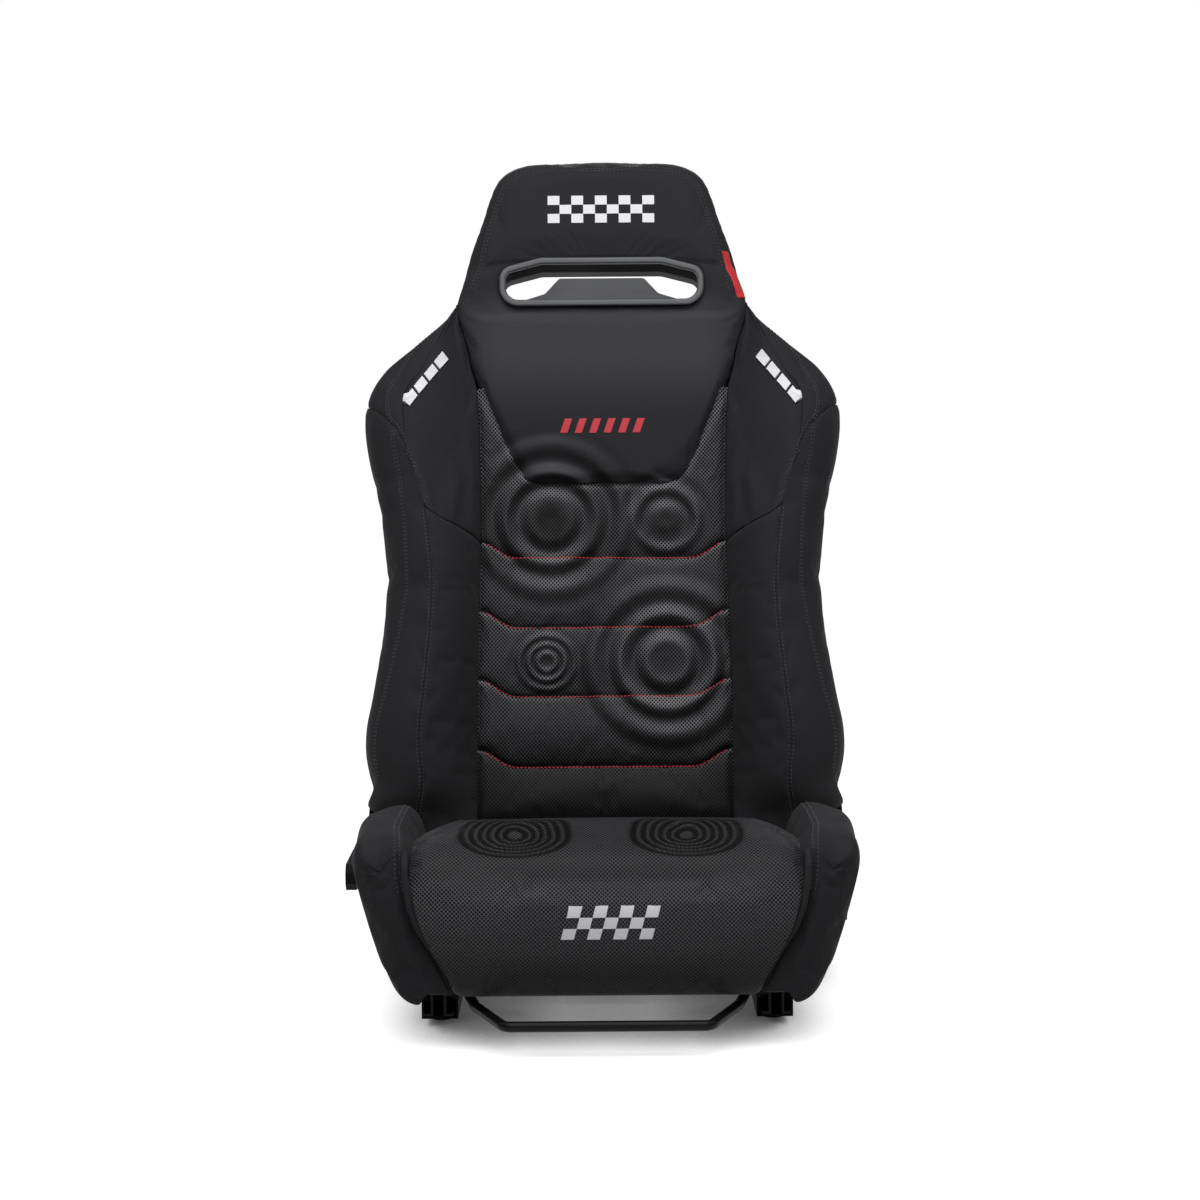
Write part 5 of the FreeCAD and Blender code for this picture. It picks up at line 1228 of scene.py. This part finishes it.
# A plain white checker on the head and a row of red blocks on the chest
headChecker = {"left": -63, "low": 730, "wide": 14.0, "high": 11.0, "columns": 9, "rows": 3, "slant": 0.0}
tiles = onBack(stack(*slantedTiles(**headChecker), 49.0))
raisedTiles("headChecker", head, tiles, "backrest", finishes["whiteThread"])
chestBlocks = {"left": -50, "low": 478, "wide": 8.5, "high": 17.0, "columns": 11, "rows": 1, "slant": 0.35}
tiles = onBack(stack(*slantedTiles(**chestBlocks), 45.0))
raisedTiles("chestBlocks", head, tiles, "backrest", finishes["redThread"])
print("head and upper panel made")

# Grey trim round the head opening, and its guide plate


def openingTrim(name, corners, material):
    # A closed profile of (grow, out, radius) corners carried round the opening's outline.
    outline = evenly(opening, openingSize["count"], closed=True)
    profile = evenly(roundedOutline(corners), 40, closed=True)
    flat = outline[None] + outwardOf(outline)[None] * profile[:, None, :1]
    out = np.broadcast_to(profile[:, None, 1:], flat.shape[:2] + (1,))
    points = onBack(np.concatenate([flat, out], -1))
    faces = gridFaces(len(profile), openingSize["count"], wrapRows=True, wrapColumns=True)
    trim = addPiece(name, points, faces, finishes[material])
    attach(trim, "backrest")
    return trim


bezelSize = {
    "front": [
        (-0.2, 45.5, 0.4), (-0.2, 48.5, 0.5), (1.8, 48.8, 0.8), (1.8, 53.6, 2.2), (-6, 53.6, 2.6),
        (-6, 47.5, 1.6),
    ],
    "sleeve": [(-2, -2, 0.4), (-0.2, -2, 0.4), (-0.2, 46.5, 0.4), (-2.6, 46.5, 0.6)],
    "rear": [
        (-2, -28, 1.2), (6, -28, 1.8), (6, -25.3, 0.8), (-0.2, -25.3, 0.6), (-0.2, -2.4, 0.4),
        (-2, -2.4, 0.4),
    ],
}
trim = openingTrim("openingBezelFront", bezelSize["front"], "greyPlastic")
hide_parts("opening_bezel_front")
# The sleeve takes the darker plastic: painted shade inside the opening
openingTrim("openingBezelSleeve", bezelSize["sleeve"], "paintedShadePlastic")
trim = openingTrim("openingBezelRear", bezelSize["rear"], "blackPlastic")
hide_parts("opening_bezel_rear")


def plate(name, outline, layers, toWorld, material):
    # A solid plate from one outline: each layer is (height, how far the outline is drawn in).
    away = outwardOf(outline)
    rings = [stack(*(outline - away * inset).T, height) for height, inset in layers]
    points = toWorld(np.stack(rings))
    rows, columns = points.shape[:2]
    faces = [list(face) for face in gridFaces(rows, columns, wrapColumns=True)]
    faces += [list(range(columns)), list(range((rows - 1) * columns, rows * columns))]
    return addPiece(name, points, faces, material)


def softLayers(low, high, edge):
    # Layers with a rounded edge at both faces.
    turn = [(0.0, 1.0), (0.3, 0.3), (1.0, 0.0)]
    layers = [(low + edge * up, edge * inset) for up, inset in turn]
    return layers + [(high - edge * up, edge * inset) for up, inset in reversed(turn)]


guideCorners = [(95, 634.4, 1), (94, 639, 2), (67, 647.5, 8), (50, 666, 5)]
guideOutline = roundedOutline(mirrored(guideCorners), steps=6)
guideLayers = softLayers(low=34.0, high=42.0, edge=1.4)
# The guide's darker grey is painted shade
guide = plate("openingGuide", guideOutline, guideLayers, onBack, finishes["mattPlastic"])
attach(guide, "backrest")
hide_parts("opening_guide")

# Folded woven tag: sewn under the head's stitch line, it stands off the rounded edge
tagSize = {
    "low": 640.0,
    "high": 698.0,
    "inset": 8.6,
    "stand": 0.6,
    "thick": 1.2,
    "lift": 1.0,
    "under": 3.0,
    "bend": 7.0,
    "ripple": 0.35,
}
tagUp = np.linspace(tagSize["low"], tagSize["high"], 30)[:, None]
step = np.linspace(0, 1, 12)[None]
sideHalf = np.interp(tagUp, halfOutline[11:22, 1], halfOutline[11:22, 0])
tagAcross = sideHalf - tagSize["inset"] + (tagSize["inset"] + tagSize["stand"]) * step
tagOut = headSize["headOut"] - tagSize["under"] - tagSize["bend"] * step**2
tagFront, facing = laidOn(head, onBack(stack(tagAcross, tagUp, tagOut)))
ripple = tagSize["ripple"] * np.sin(step * 9 + tagUp / 9)[..., None]
tagFront = tagFront + facing * (tagSize["lift"] + ripple) / 1000
rim, faces = padFaces(*tagFront.shape[:2])
skirt = (tagFront - facing * tagSize["thick"] / 1000).reshape(-1, 3)[rim]
tag = addPiece("sideTagTape", np.concatenate([tagFront.reshape(-1, 3), skirt]), faces, finishes["redTape"])
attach(tag, "backrest")
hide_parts("side_tag")
print("opening trim made")

# Seat cushion: the side profile swept across, full at the top and drawn in below

cushionSize = {
    "path": [
        (125, 60), (133, 100), (132, 138), (116, 157), (50, 169.5), (-40, 183), (-140, 203),
        (-205, 212.5), (-240, 214.5),
        (-272, 210), (-298, 196), (-311, 172), (-316, 140), (-314, 105), (-309, 76), (-303, 62), (-292, 54),
        (-276, 52.3), (-245, 54.6), (-60, 54.8), (80, 54.8), (114, 55.2),
    ],
    "half": [
        (52, 154), (58, 157.5), (68, 160), (84, 167), (103, 177), (122, 186), (142, 192.5), (163, 197),
        (187, 199),
        (208, 199.5), (216, 199),
    ],
    "topEdge": 34.0,
    "frontEdge": 9.0,
    "crown": 3.0,
    "tailHalf": 145.0,
    "crowding": 0.93,
    "coarse": (76, 140),
    "fine": (228, 384),
}
seatRings = [
    (0, 0.3), (5, 0.4), (11, -0.6), (14.5, 0.5), (18.5, -0.6), (23, 0.6), (27.5, -0.7), (31.5, 0.6),
    (35.5, -0.7),
    (40, 0.6), (44.5, -0.7), (49, 0.5), (54, -0.5), (60, 0.1), (66, 0),
]
# Painted light and shade across the seat's rings, as (distance, level) keys
seatRingShading = [
    (0, -0.2), (5, 0.1), (11, -1.0), (14.5, 0.1), (18.5, -1.0), (23, 0.1), (27.5, -1.0), (31.5, 0.1),
    (35.5, -1.0),
    (40, 0.1), (44.5, -1.0), (49, 0.0), (54, -0.8), (60, -0.1), (66, 0),
]
seatRipples = [((-93.0, 0.0), seatRings, seatRingShading), ((82.0, 0.0), seatRings, seatRingShading)]
# The rings lie flat behind their middle; in front of it they follow the height seen from before the seat
ringPlace = {
    "y": -265.0,
    "sight": 168.9,
    "lookDown": 0.162,
    "behind": 0.8,
    "before": 3.0,
    # The profile's points lie this much closer above and in front of these places
    "above": 150,
    "front": -170,
    "closer": 3.2,
}


def ringShares(path):
    # Places along the side profile as shares of its length, three times closer where the rings lie.
    walked = lengthAlong(np.concatenate([path, path[:1]]))
    top = (path[:, 1] > ringPlace["above"]) & (path[:, 0] < ringPlace["front"])
    crowd = np.cumsum(np.concatenate([[0.0], np.diff(walked) * np.where(top, ringPlace["closer"], 1.0)]))
    stops = np.linspace(0, crowd[-1], cushionSize["fine"][1], endpoint=False)
    return np.interp(stops, crowd, walked) / walked[-1]


sideProfile = smoothLoop(np.array(cushionSize["path"], float), 1800)


def cushionRings(columnCount, shares):
    # Copies of the side profile across the seat, closed loops in mm, and the painted light and shade on their
    # knit.
    closed = np.concatenate([sideProfile, sideProfile[:1]])
    walked = lengthAlong(closed)
    curve = pointsAt(closed, walked, shares * walked[-1])
    away = outwardOf(curve)
    spread = np.linspace(-1, 1, columnCount) * math.pi / 2 * cushionSize["crowding"]
    columns = np.sin(spread) / math.sin(math.pi / 2 * cushionSize["crowding"])
    half = through(cushionSize["half"], curve[:, 1])
    tail = smoothStep(40, 70, curve[:, 0])
    half = half * (1 - tail) + np.minimum(half, cushionSize["tailHalf"]) * tail
    across = columns[:, None] * half[None]
    toSide = (1 - np.abs(columns))[:, None] * half[None]
    upward = smoothStep(0.1, 0.9, away[:, 1])[None]
    edge = cushionSize["frontEdge"] + (cushionSize["topEdge"] - cushionSize["frontEdge"]) * upward
    pull = quarterDrop(toSide, edge) * (0.95 - 0.4 * upward)
    top = (smoothStep(150, 195, curve[:, 1]) * smoothStep(-0.1, 0.4, away[:, 1]))[None]
    crown = cushionSize["crown"] * (1 - columns[:, None] ** 2) * smoothStep(58, 75, curve[:, 1])[None]
    behind = (curve[:, 0] - ringPlace["y"]) * ringPlace["behind"]
    before = (curve[:, 1] + ringPlace["lookDown"] * curve[:, 0] - ringPlace["sight"]) * ringPlace["before"]
    along = np.broadcast_to(np.where(curve[:, 0] > ringPlace["y"], behind, before), across.shape)
    shift = crown + ripples(across, along, 1, seatRipples) * top - pull
    ahead = curve[None, :, 0] + away[None, :, 0] * shift
    # Painted shade over the whole top and towards the hem of the front, which faces down; the rings add
    # painted light and shade
    low = (1 - smoothStep(62, 135, curve[:, 1])) * (away[:, 0] < 0)
    paintedShading = (ripples(across, along, 2, seatRipples) - 0.42) * top - 0.7 * low[None]
    return stack(across, ahead, curve[None, :, 1] + away[None, :, 1] * shift), paintedShading


coarseColumns, coarseRows = cushionSize["coarse"]
rings, paintedShading = cushionRings(coarseColumns, np.arange(coarseRows) / coarseRows)
held = np.zeros(rings.shape[:2], bool)
held[:2] = held[-2:] = True
held |= (rings[..., 2] < 60) | (rings[..., 1] > 100)
faces = ringFaces(*rings.shape[:2])
settled = settleCover(rings / 1000, faces, held, pressure=2.5, cap=5)
swollen = settled.reshape(rings.shape) - rings / 1000
shares = ringShares(sideProfile)
rings, paintedShading = cushionRings(cushionSize["fine"][0], shares)
swollen = np.concatenate([swollen, swollen[:, :1]], axis=1)
swollen = finer(swollen, np.linspace(0, coarseColumns - 1, len(rings)), shares * coarseRows)
faces = ringFaces(*rings.shape[:2])
around = lengthAlong(rings[len(rings) // 2])
cushionUv = stack(rings[..., 0], 0.97 * around[None]) / 1000
cushion = addPiece("seatCushionCover", rings / 1000 + swollen, faces, finishes["seatMesh"], cushionUv)
# Painted light and shade on the cushion's knit
markPaintedShading(cushion, paintedShading)
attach(cushion, "seat")
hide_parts("seat_cushion")
# A skewed white checker on the cushion's front
seatChecker = {"left": -46, "low": 118, "wide": 13.0, "high": 10.5, "columns": 7, "rows": 3, "slant": 0.28}
across, high = slantedTiles(**seatChecker)
tiles = stack(across, -316.0, high) / 1000
raisedTiles("seatChecker", cushion, tiles, "seat", finishes["whiteThread"])
print("cushion made")

# Cushion side bolsters: a section carried back from a rounded nose

thighSize = {
    "nose": -297.0,
    "rear": 62.0,
    "crest": [(-301, 220.5), (-150, 221), (-60, 212.5), (0, 191), (64, 158)],
    "outer": [
        (-301, 250), (-280, 254), (-200, 259), (-150, 262), (-100, 262), (-60, 261), (0, 253), (64, 240),
    ],
    "outerHeight": [(-301, 192), (-150, 193), (-60, 185), (0, 162), (64, 138)],
    "core": [(178, 66), (205, 120), (226, 165), (228, 178)],
    "topRadius": 43.0,
    "outerRadius": 24.0,
    "underRadius": 9.0,
    "innerRadius": 6.0,
    "lastTurn": 87.0,
    "noseRows": 13,
    "noseFull": 5.0,
    "startShift": 29.0,
    "count": 96,
    "rows": 56,
    "faceColumns": 9,
}


def thighSections(y):
    # The right bolster's closed sections at each y, as (across, height) points paired across.
    crest = through(thighSize["crest"], y)
    outer = through(thighSize["outer"], y)
    high = through(thighSize["outerHeight"], y)
    level = 0 * y
    drop = thighSize["crest"][0][1] - crest
    narrow = np.minimum(outer - 254, 0) * 0.7
    wall = high - 80
    keys = [
        (156 + level, 56 + level),
        (161 + level, 72 + level),
        (172 + level, 97 + level),
        (184 + level, 125 - drop * 0.1),
        (195 + level, 158 - drop * 0.3),
        (199.5 + level, 185 - drop * 0.75),
        (200.5 + level, 203 - drop * 0.95),
        (205 + level, crest - 6),
        (212 + level, crest - 0.6),
        (220 + level, crest - 0.8),
        (229 + (outer - 262) * 0.6, crest - 3.2),
        (outer - 12, crest - 4.2),
        (outer - 3.6, crest - 11),
        (outer - 0.6, (crest + high) / 2 - 4),
        (outer, high - 2),
        (outer - 4, high - 22),
        (outer - 12, 58 + wall * 0.72),
        (outer - 22, 58 + wall * 0.42),
        (outer - 33, 58 + wall * 0.14),
        (214 + narrow, 58 + level),
        (205 + narrow * 0.6, 49 + level),
        (193 + narrow * 0.2, 44.5 + level),
        (187.5 + level, 47 + level),
        (187.5 + level, 55 + level),
        (170 + level, 55 + level),
    ]
    keys = np.stack([np.stack([across, height], -1) for across, height in keys + keys[:1]])[:, :, None]
    keys = np.broadcast_to(keys, keys.shape[:2] + (500, 2))
    section = alongKeys(keys, np.broadcast_to(np.linspace(0, 1, 500), (len(y), 500)))
    walked = lengthAlong(section, axis=1)
    start = -thighSize["startShift"] / walked[:, -1:]
    stops = (np.linspace(0, 1, thighSize["count"], endpoint=False)[None] + start) % 1 * walked[:, -1:]
    return np.stack([pointsAt(row, walk, stop) for row, walk, stop in zip(section, walked, stops)])


def thighRings():
    # Rings from nose to rear. Each point turns into the nose by its own radius, towards the core line.
    levels = np.linspace(thighSize["nose"], thighSize["rear"], 120)
    table = thighSections(levels)
    away = outwardOf(table[10])
    radius = thighSize["topRadius"] * np.maximum(away[:, 1], 0) ** 2
    radius = radius + thighSize["underRadius"] * np.maximum(-away[:, 1], 0) ** 2
    radius = radius + thighSize["outerRadius"] * np.maximum(away[:, 0], 0) ** 2
    radius = radius + thighSize["innerRadius"] * np.maximum(-away[:, 0], 0) ** 2

    def at(y):
        place = (y - levels[0]) / (levels[1] - levels[0])
        low = np.clip(place.astype(int), 0, len(levels) - 2)
        part = (place - low)[..., None]
        column = np.arange(thighSize["count"])[None]
        return table[low, column] * (1 - part) + table[low + 1, column] * part

    start = (thighSize["nose"] + radius)[None]
    y = start + (thighSize["rear"] - start) * np.linspace(0, 1, thighSize["rows"])[:, None]
    body = at(y)
    core = evenly(np.array(thighSize["core"], float), 80)
    nearest = core[np.argmin(((body[0][:, None] - core[None]) ** 2).sum(axis=-1), axis=1)]
    reach = np.linalg.norm(nearest - body[0], axis=1)
    turns = np.radians(np.linspace(thighSize["lastTurn"], 0, thighSize["noseRows"] + 1)[:-1])[:, None]
    inset = np.minimum(radius * (1 - np.cos(turns)) / reach, 0.85)[..., None]
    nose = body[0] + (nearest - body[0]) * inset
    noseY = thighSize["nose"] + radius * (1 - np.sin(turns))
    rings, y = np.concatenate([nose, body]), np.concatenate([noseY, y])
    return stack(rings[..., 0], y, rings[..., 1])


def noseFace(rings):
    # A full face across the first ring: its points and the faces that join them to the ring.
    half = thighSize["count"] // 2
    one, other = rings[0, :half], rings[0, ::-1][:half]
    share = np.linspace(0, 1, thighSize["faceColumns"] + 2)[1:-1][None, :, None]
    inside = one[:, None] * (1 - share) + other[:, None] * share
    ladder = np.sin(np.linspace(0, math.pi, half))[:, None] ** 2
    inside[..., 1] -= thighSize["noseFull"] * ladder * np.sin(share[..., 0] * math.pi) ** 2
    count = rings.shape[0] * rings.shape[1]
    number = np.concatenate(
        [
            np.arange(half)[:, None],
            count + np.arange(half * thighSize["faceColumns"]).reshape(half, -1),
            (thighSize["count"] - 1 - np.arange(half))[:, None],
        ],
        axis=1,
    )
    corners = [number[:-1, :-1], number[:-1, 1:], number[1:, 1:], number[1:, :-1]]
    return inside.reshape(-1, 3), np.stack(corners, -1).reshape(-1, 4)


rings = roundEnd(thighRings(), radius=10, end=1)
inside, nosePatch = noseFace(rings)
rows, columns = rings.shape[:2]
lastRing = np.arange(columns) + (rows - 1) * columns
thighFaces = np.concatenate([gridFaces(rows, columns, wrapColumns=True), ladderFaces(lastRing), nosePatch])
thighPoints = np.concatenate([rings.reshape(-1, 3), inside])
across, ahead, high = thighPoints.T
held = (high < 60) | ((across < 176) & (high < 100)) | (ahead > 50)
held |= (np.abs(across - 211) < 2.5) & (high > 150)
thighPoints = settleCover(thighPoints / 1000, thighFaces, held, pressure=2.0, cap=3)
ringUv = clothUv(rings).reshape(-1, 2)
thighUv = np.concatenate([ringUv, thighPoints[rows * columns :, [0, 2]]])
# The double stitching that runs over each bolster and down beside the edge strip
thighSeam = [
    (212.5, 40, 172), (212.5, -60, 217), (212.5, -150, 224), (212.5, -250, 225), (211.5, -280, 221),
    (210.2, -294, 208), (209.4, -299, 192), (208.4, -301, 178), (206.8, -301, 168), (204, -301, 156),
]
for sideName, side in (("left", -1), ("right", 1)):
    points = thighPoints * [side, 1, 1]
    foam = f"cushion_bolster_{sideName}"
    cover = clothCover(f"cushionBolsterCover_{sideName}", points, thighFaces, thighUv, "seat", foam)
    line = np.array(thighSeam) * [side, 1, 1] / 1000
    black = finishes["blackThread"]
    stitchOn(f"thighStitch_{sideName}", cover, line, "seat", "smooth_fabric", black, (-2.6, 2.6))

# Edge strips between the pad and its bolsters: a flattened roll that thins towards the hem
stripSize = {
    "line": [
        (207, -238, 192), (205, -262, 202), (203, -284, 204), (202.5, -297, 199), (202.4, -305, 188),
        (200.7, -309, 169), (196.7, -310, 146), (190, -310, 128), (179, -308, 108), (168, -304, 87),
        (161, -299, 69),
        (157, -292, 57),
    ],
    "wide": [(0, 3.2), (0.5, 3.3), (0.62, 2.9), (0.7, 2.5), (0.77, 1.6), (0.85, 1.1), (1, 0.7)],
    "sides": 12,
    "rows": 100,
}
for sideName, side in (("left", -1), ("right", 1)):
    path = evenly(np.array(stripSize["line"]) * [side, 1, 1], stripSize["rows"])
    along = unit(np.gradient(path, axis=0))
    across = unit(np.cross(along, np.array([0.0, -0.7, 0.3])))
    up = unit(np.cross(across, along))
    half = through(stripSize["wide"], np.linspace(0, 1, stripSize["rows"]))[:, None, None]
    angle = (np.arange(stripSize["sides"]) / stripSize["sides"] * 2 * math.pi)[None, :, None]
    tube = path[:, None] + half * (np.cos(angle) * across[:, None] + 0.75 * np.sin(angle) * up[:, None])
    faces = ringFaces(*tube.shape[:2])
    strip = addPiece(f"cushionEdgeStrip_{sideName}", tube / 1000, faces, finishes["cloth"], clothUv(tube))
    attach(strip, "seat")
print("cushion bolsters made")

# Stage, lights and camera


def lamp(name, spot, target, size, power):
    data = bpy.data.lights.new(name, "AREA")
    data.shape = "RECTANGLE"
    data.size, data.size_y = size
    data.energy = power
    obj = bpy.data.objects.new(name, data)
    bpy.context.scene.collection.objects.link(obj)
    obj.location = spot
    obj.rotation_euler = (Vector(target) - Vector(spot)).to_track_quat("-Z", "Y").to_euler()


# Half the floor's width and the reach of the seat's painted contact shadow in metres, and the floor's own
# grey
stageSize = {"half": 30, "shade": 0.11, "grey": 0.22}


def stageFloor():
    # Pale floor: it shows white to the camera and to gloss, with a painted shadow where the seat stands close
    # over it.
    material, tree = newMaterial("stagePaper")
    rays = addNode(tree, "ShaderNodeLightPath").outputs
    seen = maths(tree, "ADD", rays["Is Camera Ray"], rays["Is Glossy Ray"])
    seen = maths(tree, "ADD", seen, rays["Is Transmission Ray"], True)
    # Painted shadow: ambient occlusion under the seat dims the floor's glow
    near = addNode(tree, "ShaderNodeAmbientOcclusion", {"Distance": stageSize["shade"]}, samples=16)
    level = ranged(tree, near.outputs["AO"], (0.04, 0.66), (0.02, 1.0), interpolation_type="SMOOTHSTEP")
    strength = maths(tree, "MULTIPLY", seen, level)
    glow = addNode(tree, "ShaderNodeEmission", {"Color": (1, 1, 1, 1)}, {"Strength": strength})
    paper = addNode(tree, "ShaderNodeBsdfDiffuse", {"Color": (stageSize["grey"],) * 3 + (1,)})
    both = addNode(tree, "ShaderNodeAddShader", links={0: glow.outputs[0], 1: paper.outputs[0]})
    addNode(tree, "ShaderNodeOutputMaterial", links={"Surface": both.outputs[0]})
    points = np.array([(-1, -1, 0), (1, -1, 0), (1, 1, 0), (-1, 1, 0)], float) * stageSize["half"]
    floor = addPiece("stageFloor", points, [[0, 1, 2, 3]], material)
    if floor.data.polygons[0].normal.z < 0:
        floor.data.flip_normals()


def stageWorld():
    world = bpy.data.worlds.new("studio")
    bpy.context.scene.world = world
    world.use_nodes = True
    tree = world.node_tree
    tree.nodes.clear()
    rays = addNode(tree, "ShaderNodeLightPath").outputs
    seen = maths(tree, "ADD", rays["Is Camera Ray"], rays["Is Transmission Ray"], True)
    shade = mixed(tree, seen, "3a3a3d", "ffffff")
    glow = addNode(tree, "ShaderNodeBackground", {"Strength": 1.0}, {"Color": shade})
    addNode(tree, "ShaderNodeOutputWorld", links={"Surface": glow.outputs[0]})


stageFloor()
stageWorld()
lamp("topLamp", (0.0, -1.0, 2.5), (0, 0.05, 0.45), size=(2.2, 1.2), power=46)
lamp("frontLamp", (0.0, -2.8, 1.9), (0, 0.1, 0.45), size=(2.4, 1.6), power=26)
lamp("leftLamp", (-2.1, -0.2, 2.0), (0, 0.1, 0.45), size=(0.7, 1.4), power=7)
lamp("rightLamp", (2.1, -0.2, 2.0), (0, 0.1, 0.45), size=(0.7, 1.4), power=7)
lamp("backLamp", (0.0, 2.4, 2.2), (0, 0.1, 0.5), size=(2.0, 1.2), power=30)

scene = bpy.context.scene
scene.view_settings.view_transform = "Standard"
cameraSize = {"spot": (-0.0022, -3.25, 0.70), "target": (-0.0045, 0.0, 0.430), "lens": 89.25, "roll": -0.452}
cameraData = bpy.data.cameras.new("camera")
cameraData.lens = cameraSize["lens"]
cameraData.sensor_width = 36.0
cameraData.sensor_fit = "HORIZONTAL"
camera = bpy.data.objects.new("camera", cameraData)
scene.collection.objects.link(camera)
camera.location = cameraSize["spot"]
aim = Vector(cameraSize["target"]) - Vector(cameraSize["spot"])
turn = Quaternion((0, 0, 1), math.radians(cameraSize["roll"]))
camera.rotation_euler = (aim.to_track_quat("-Z", "Y") @ turn).to_euler()
scene.camera = camera
print("stage set")
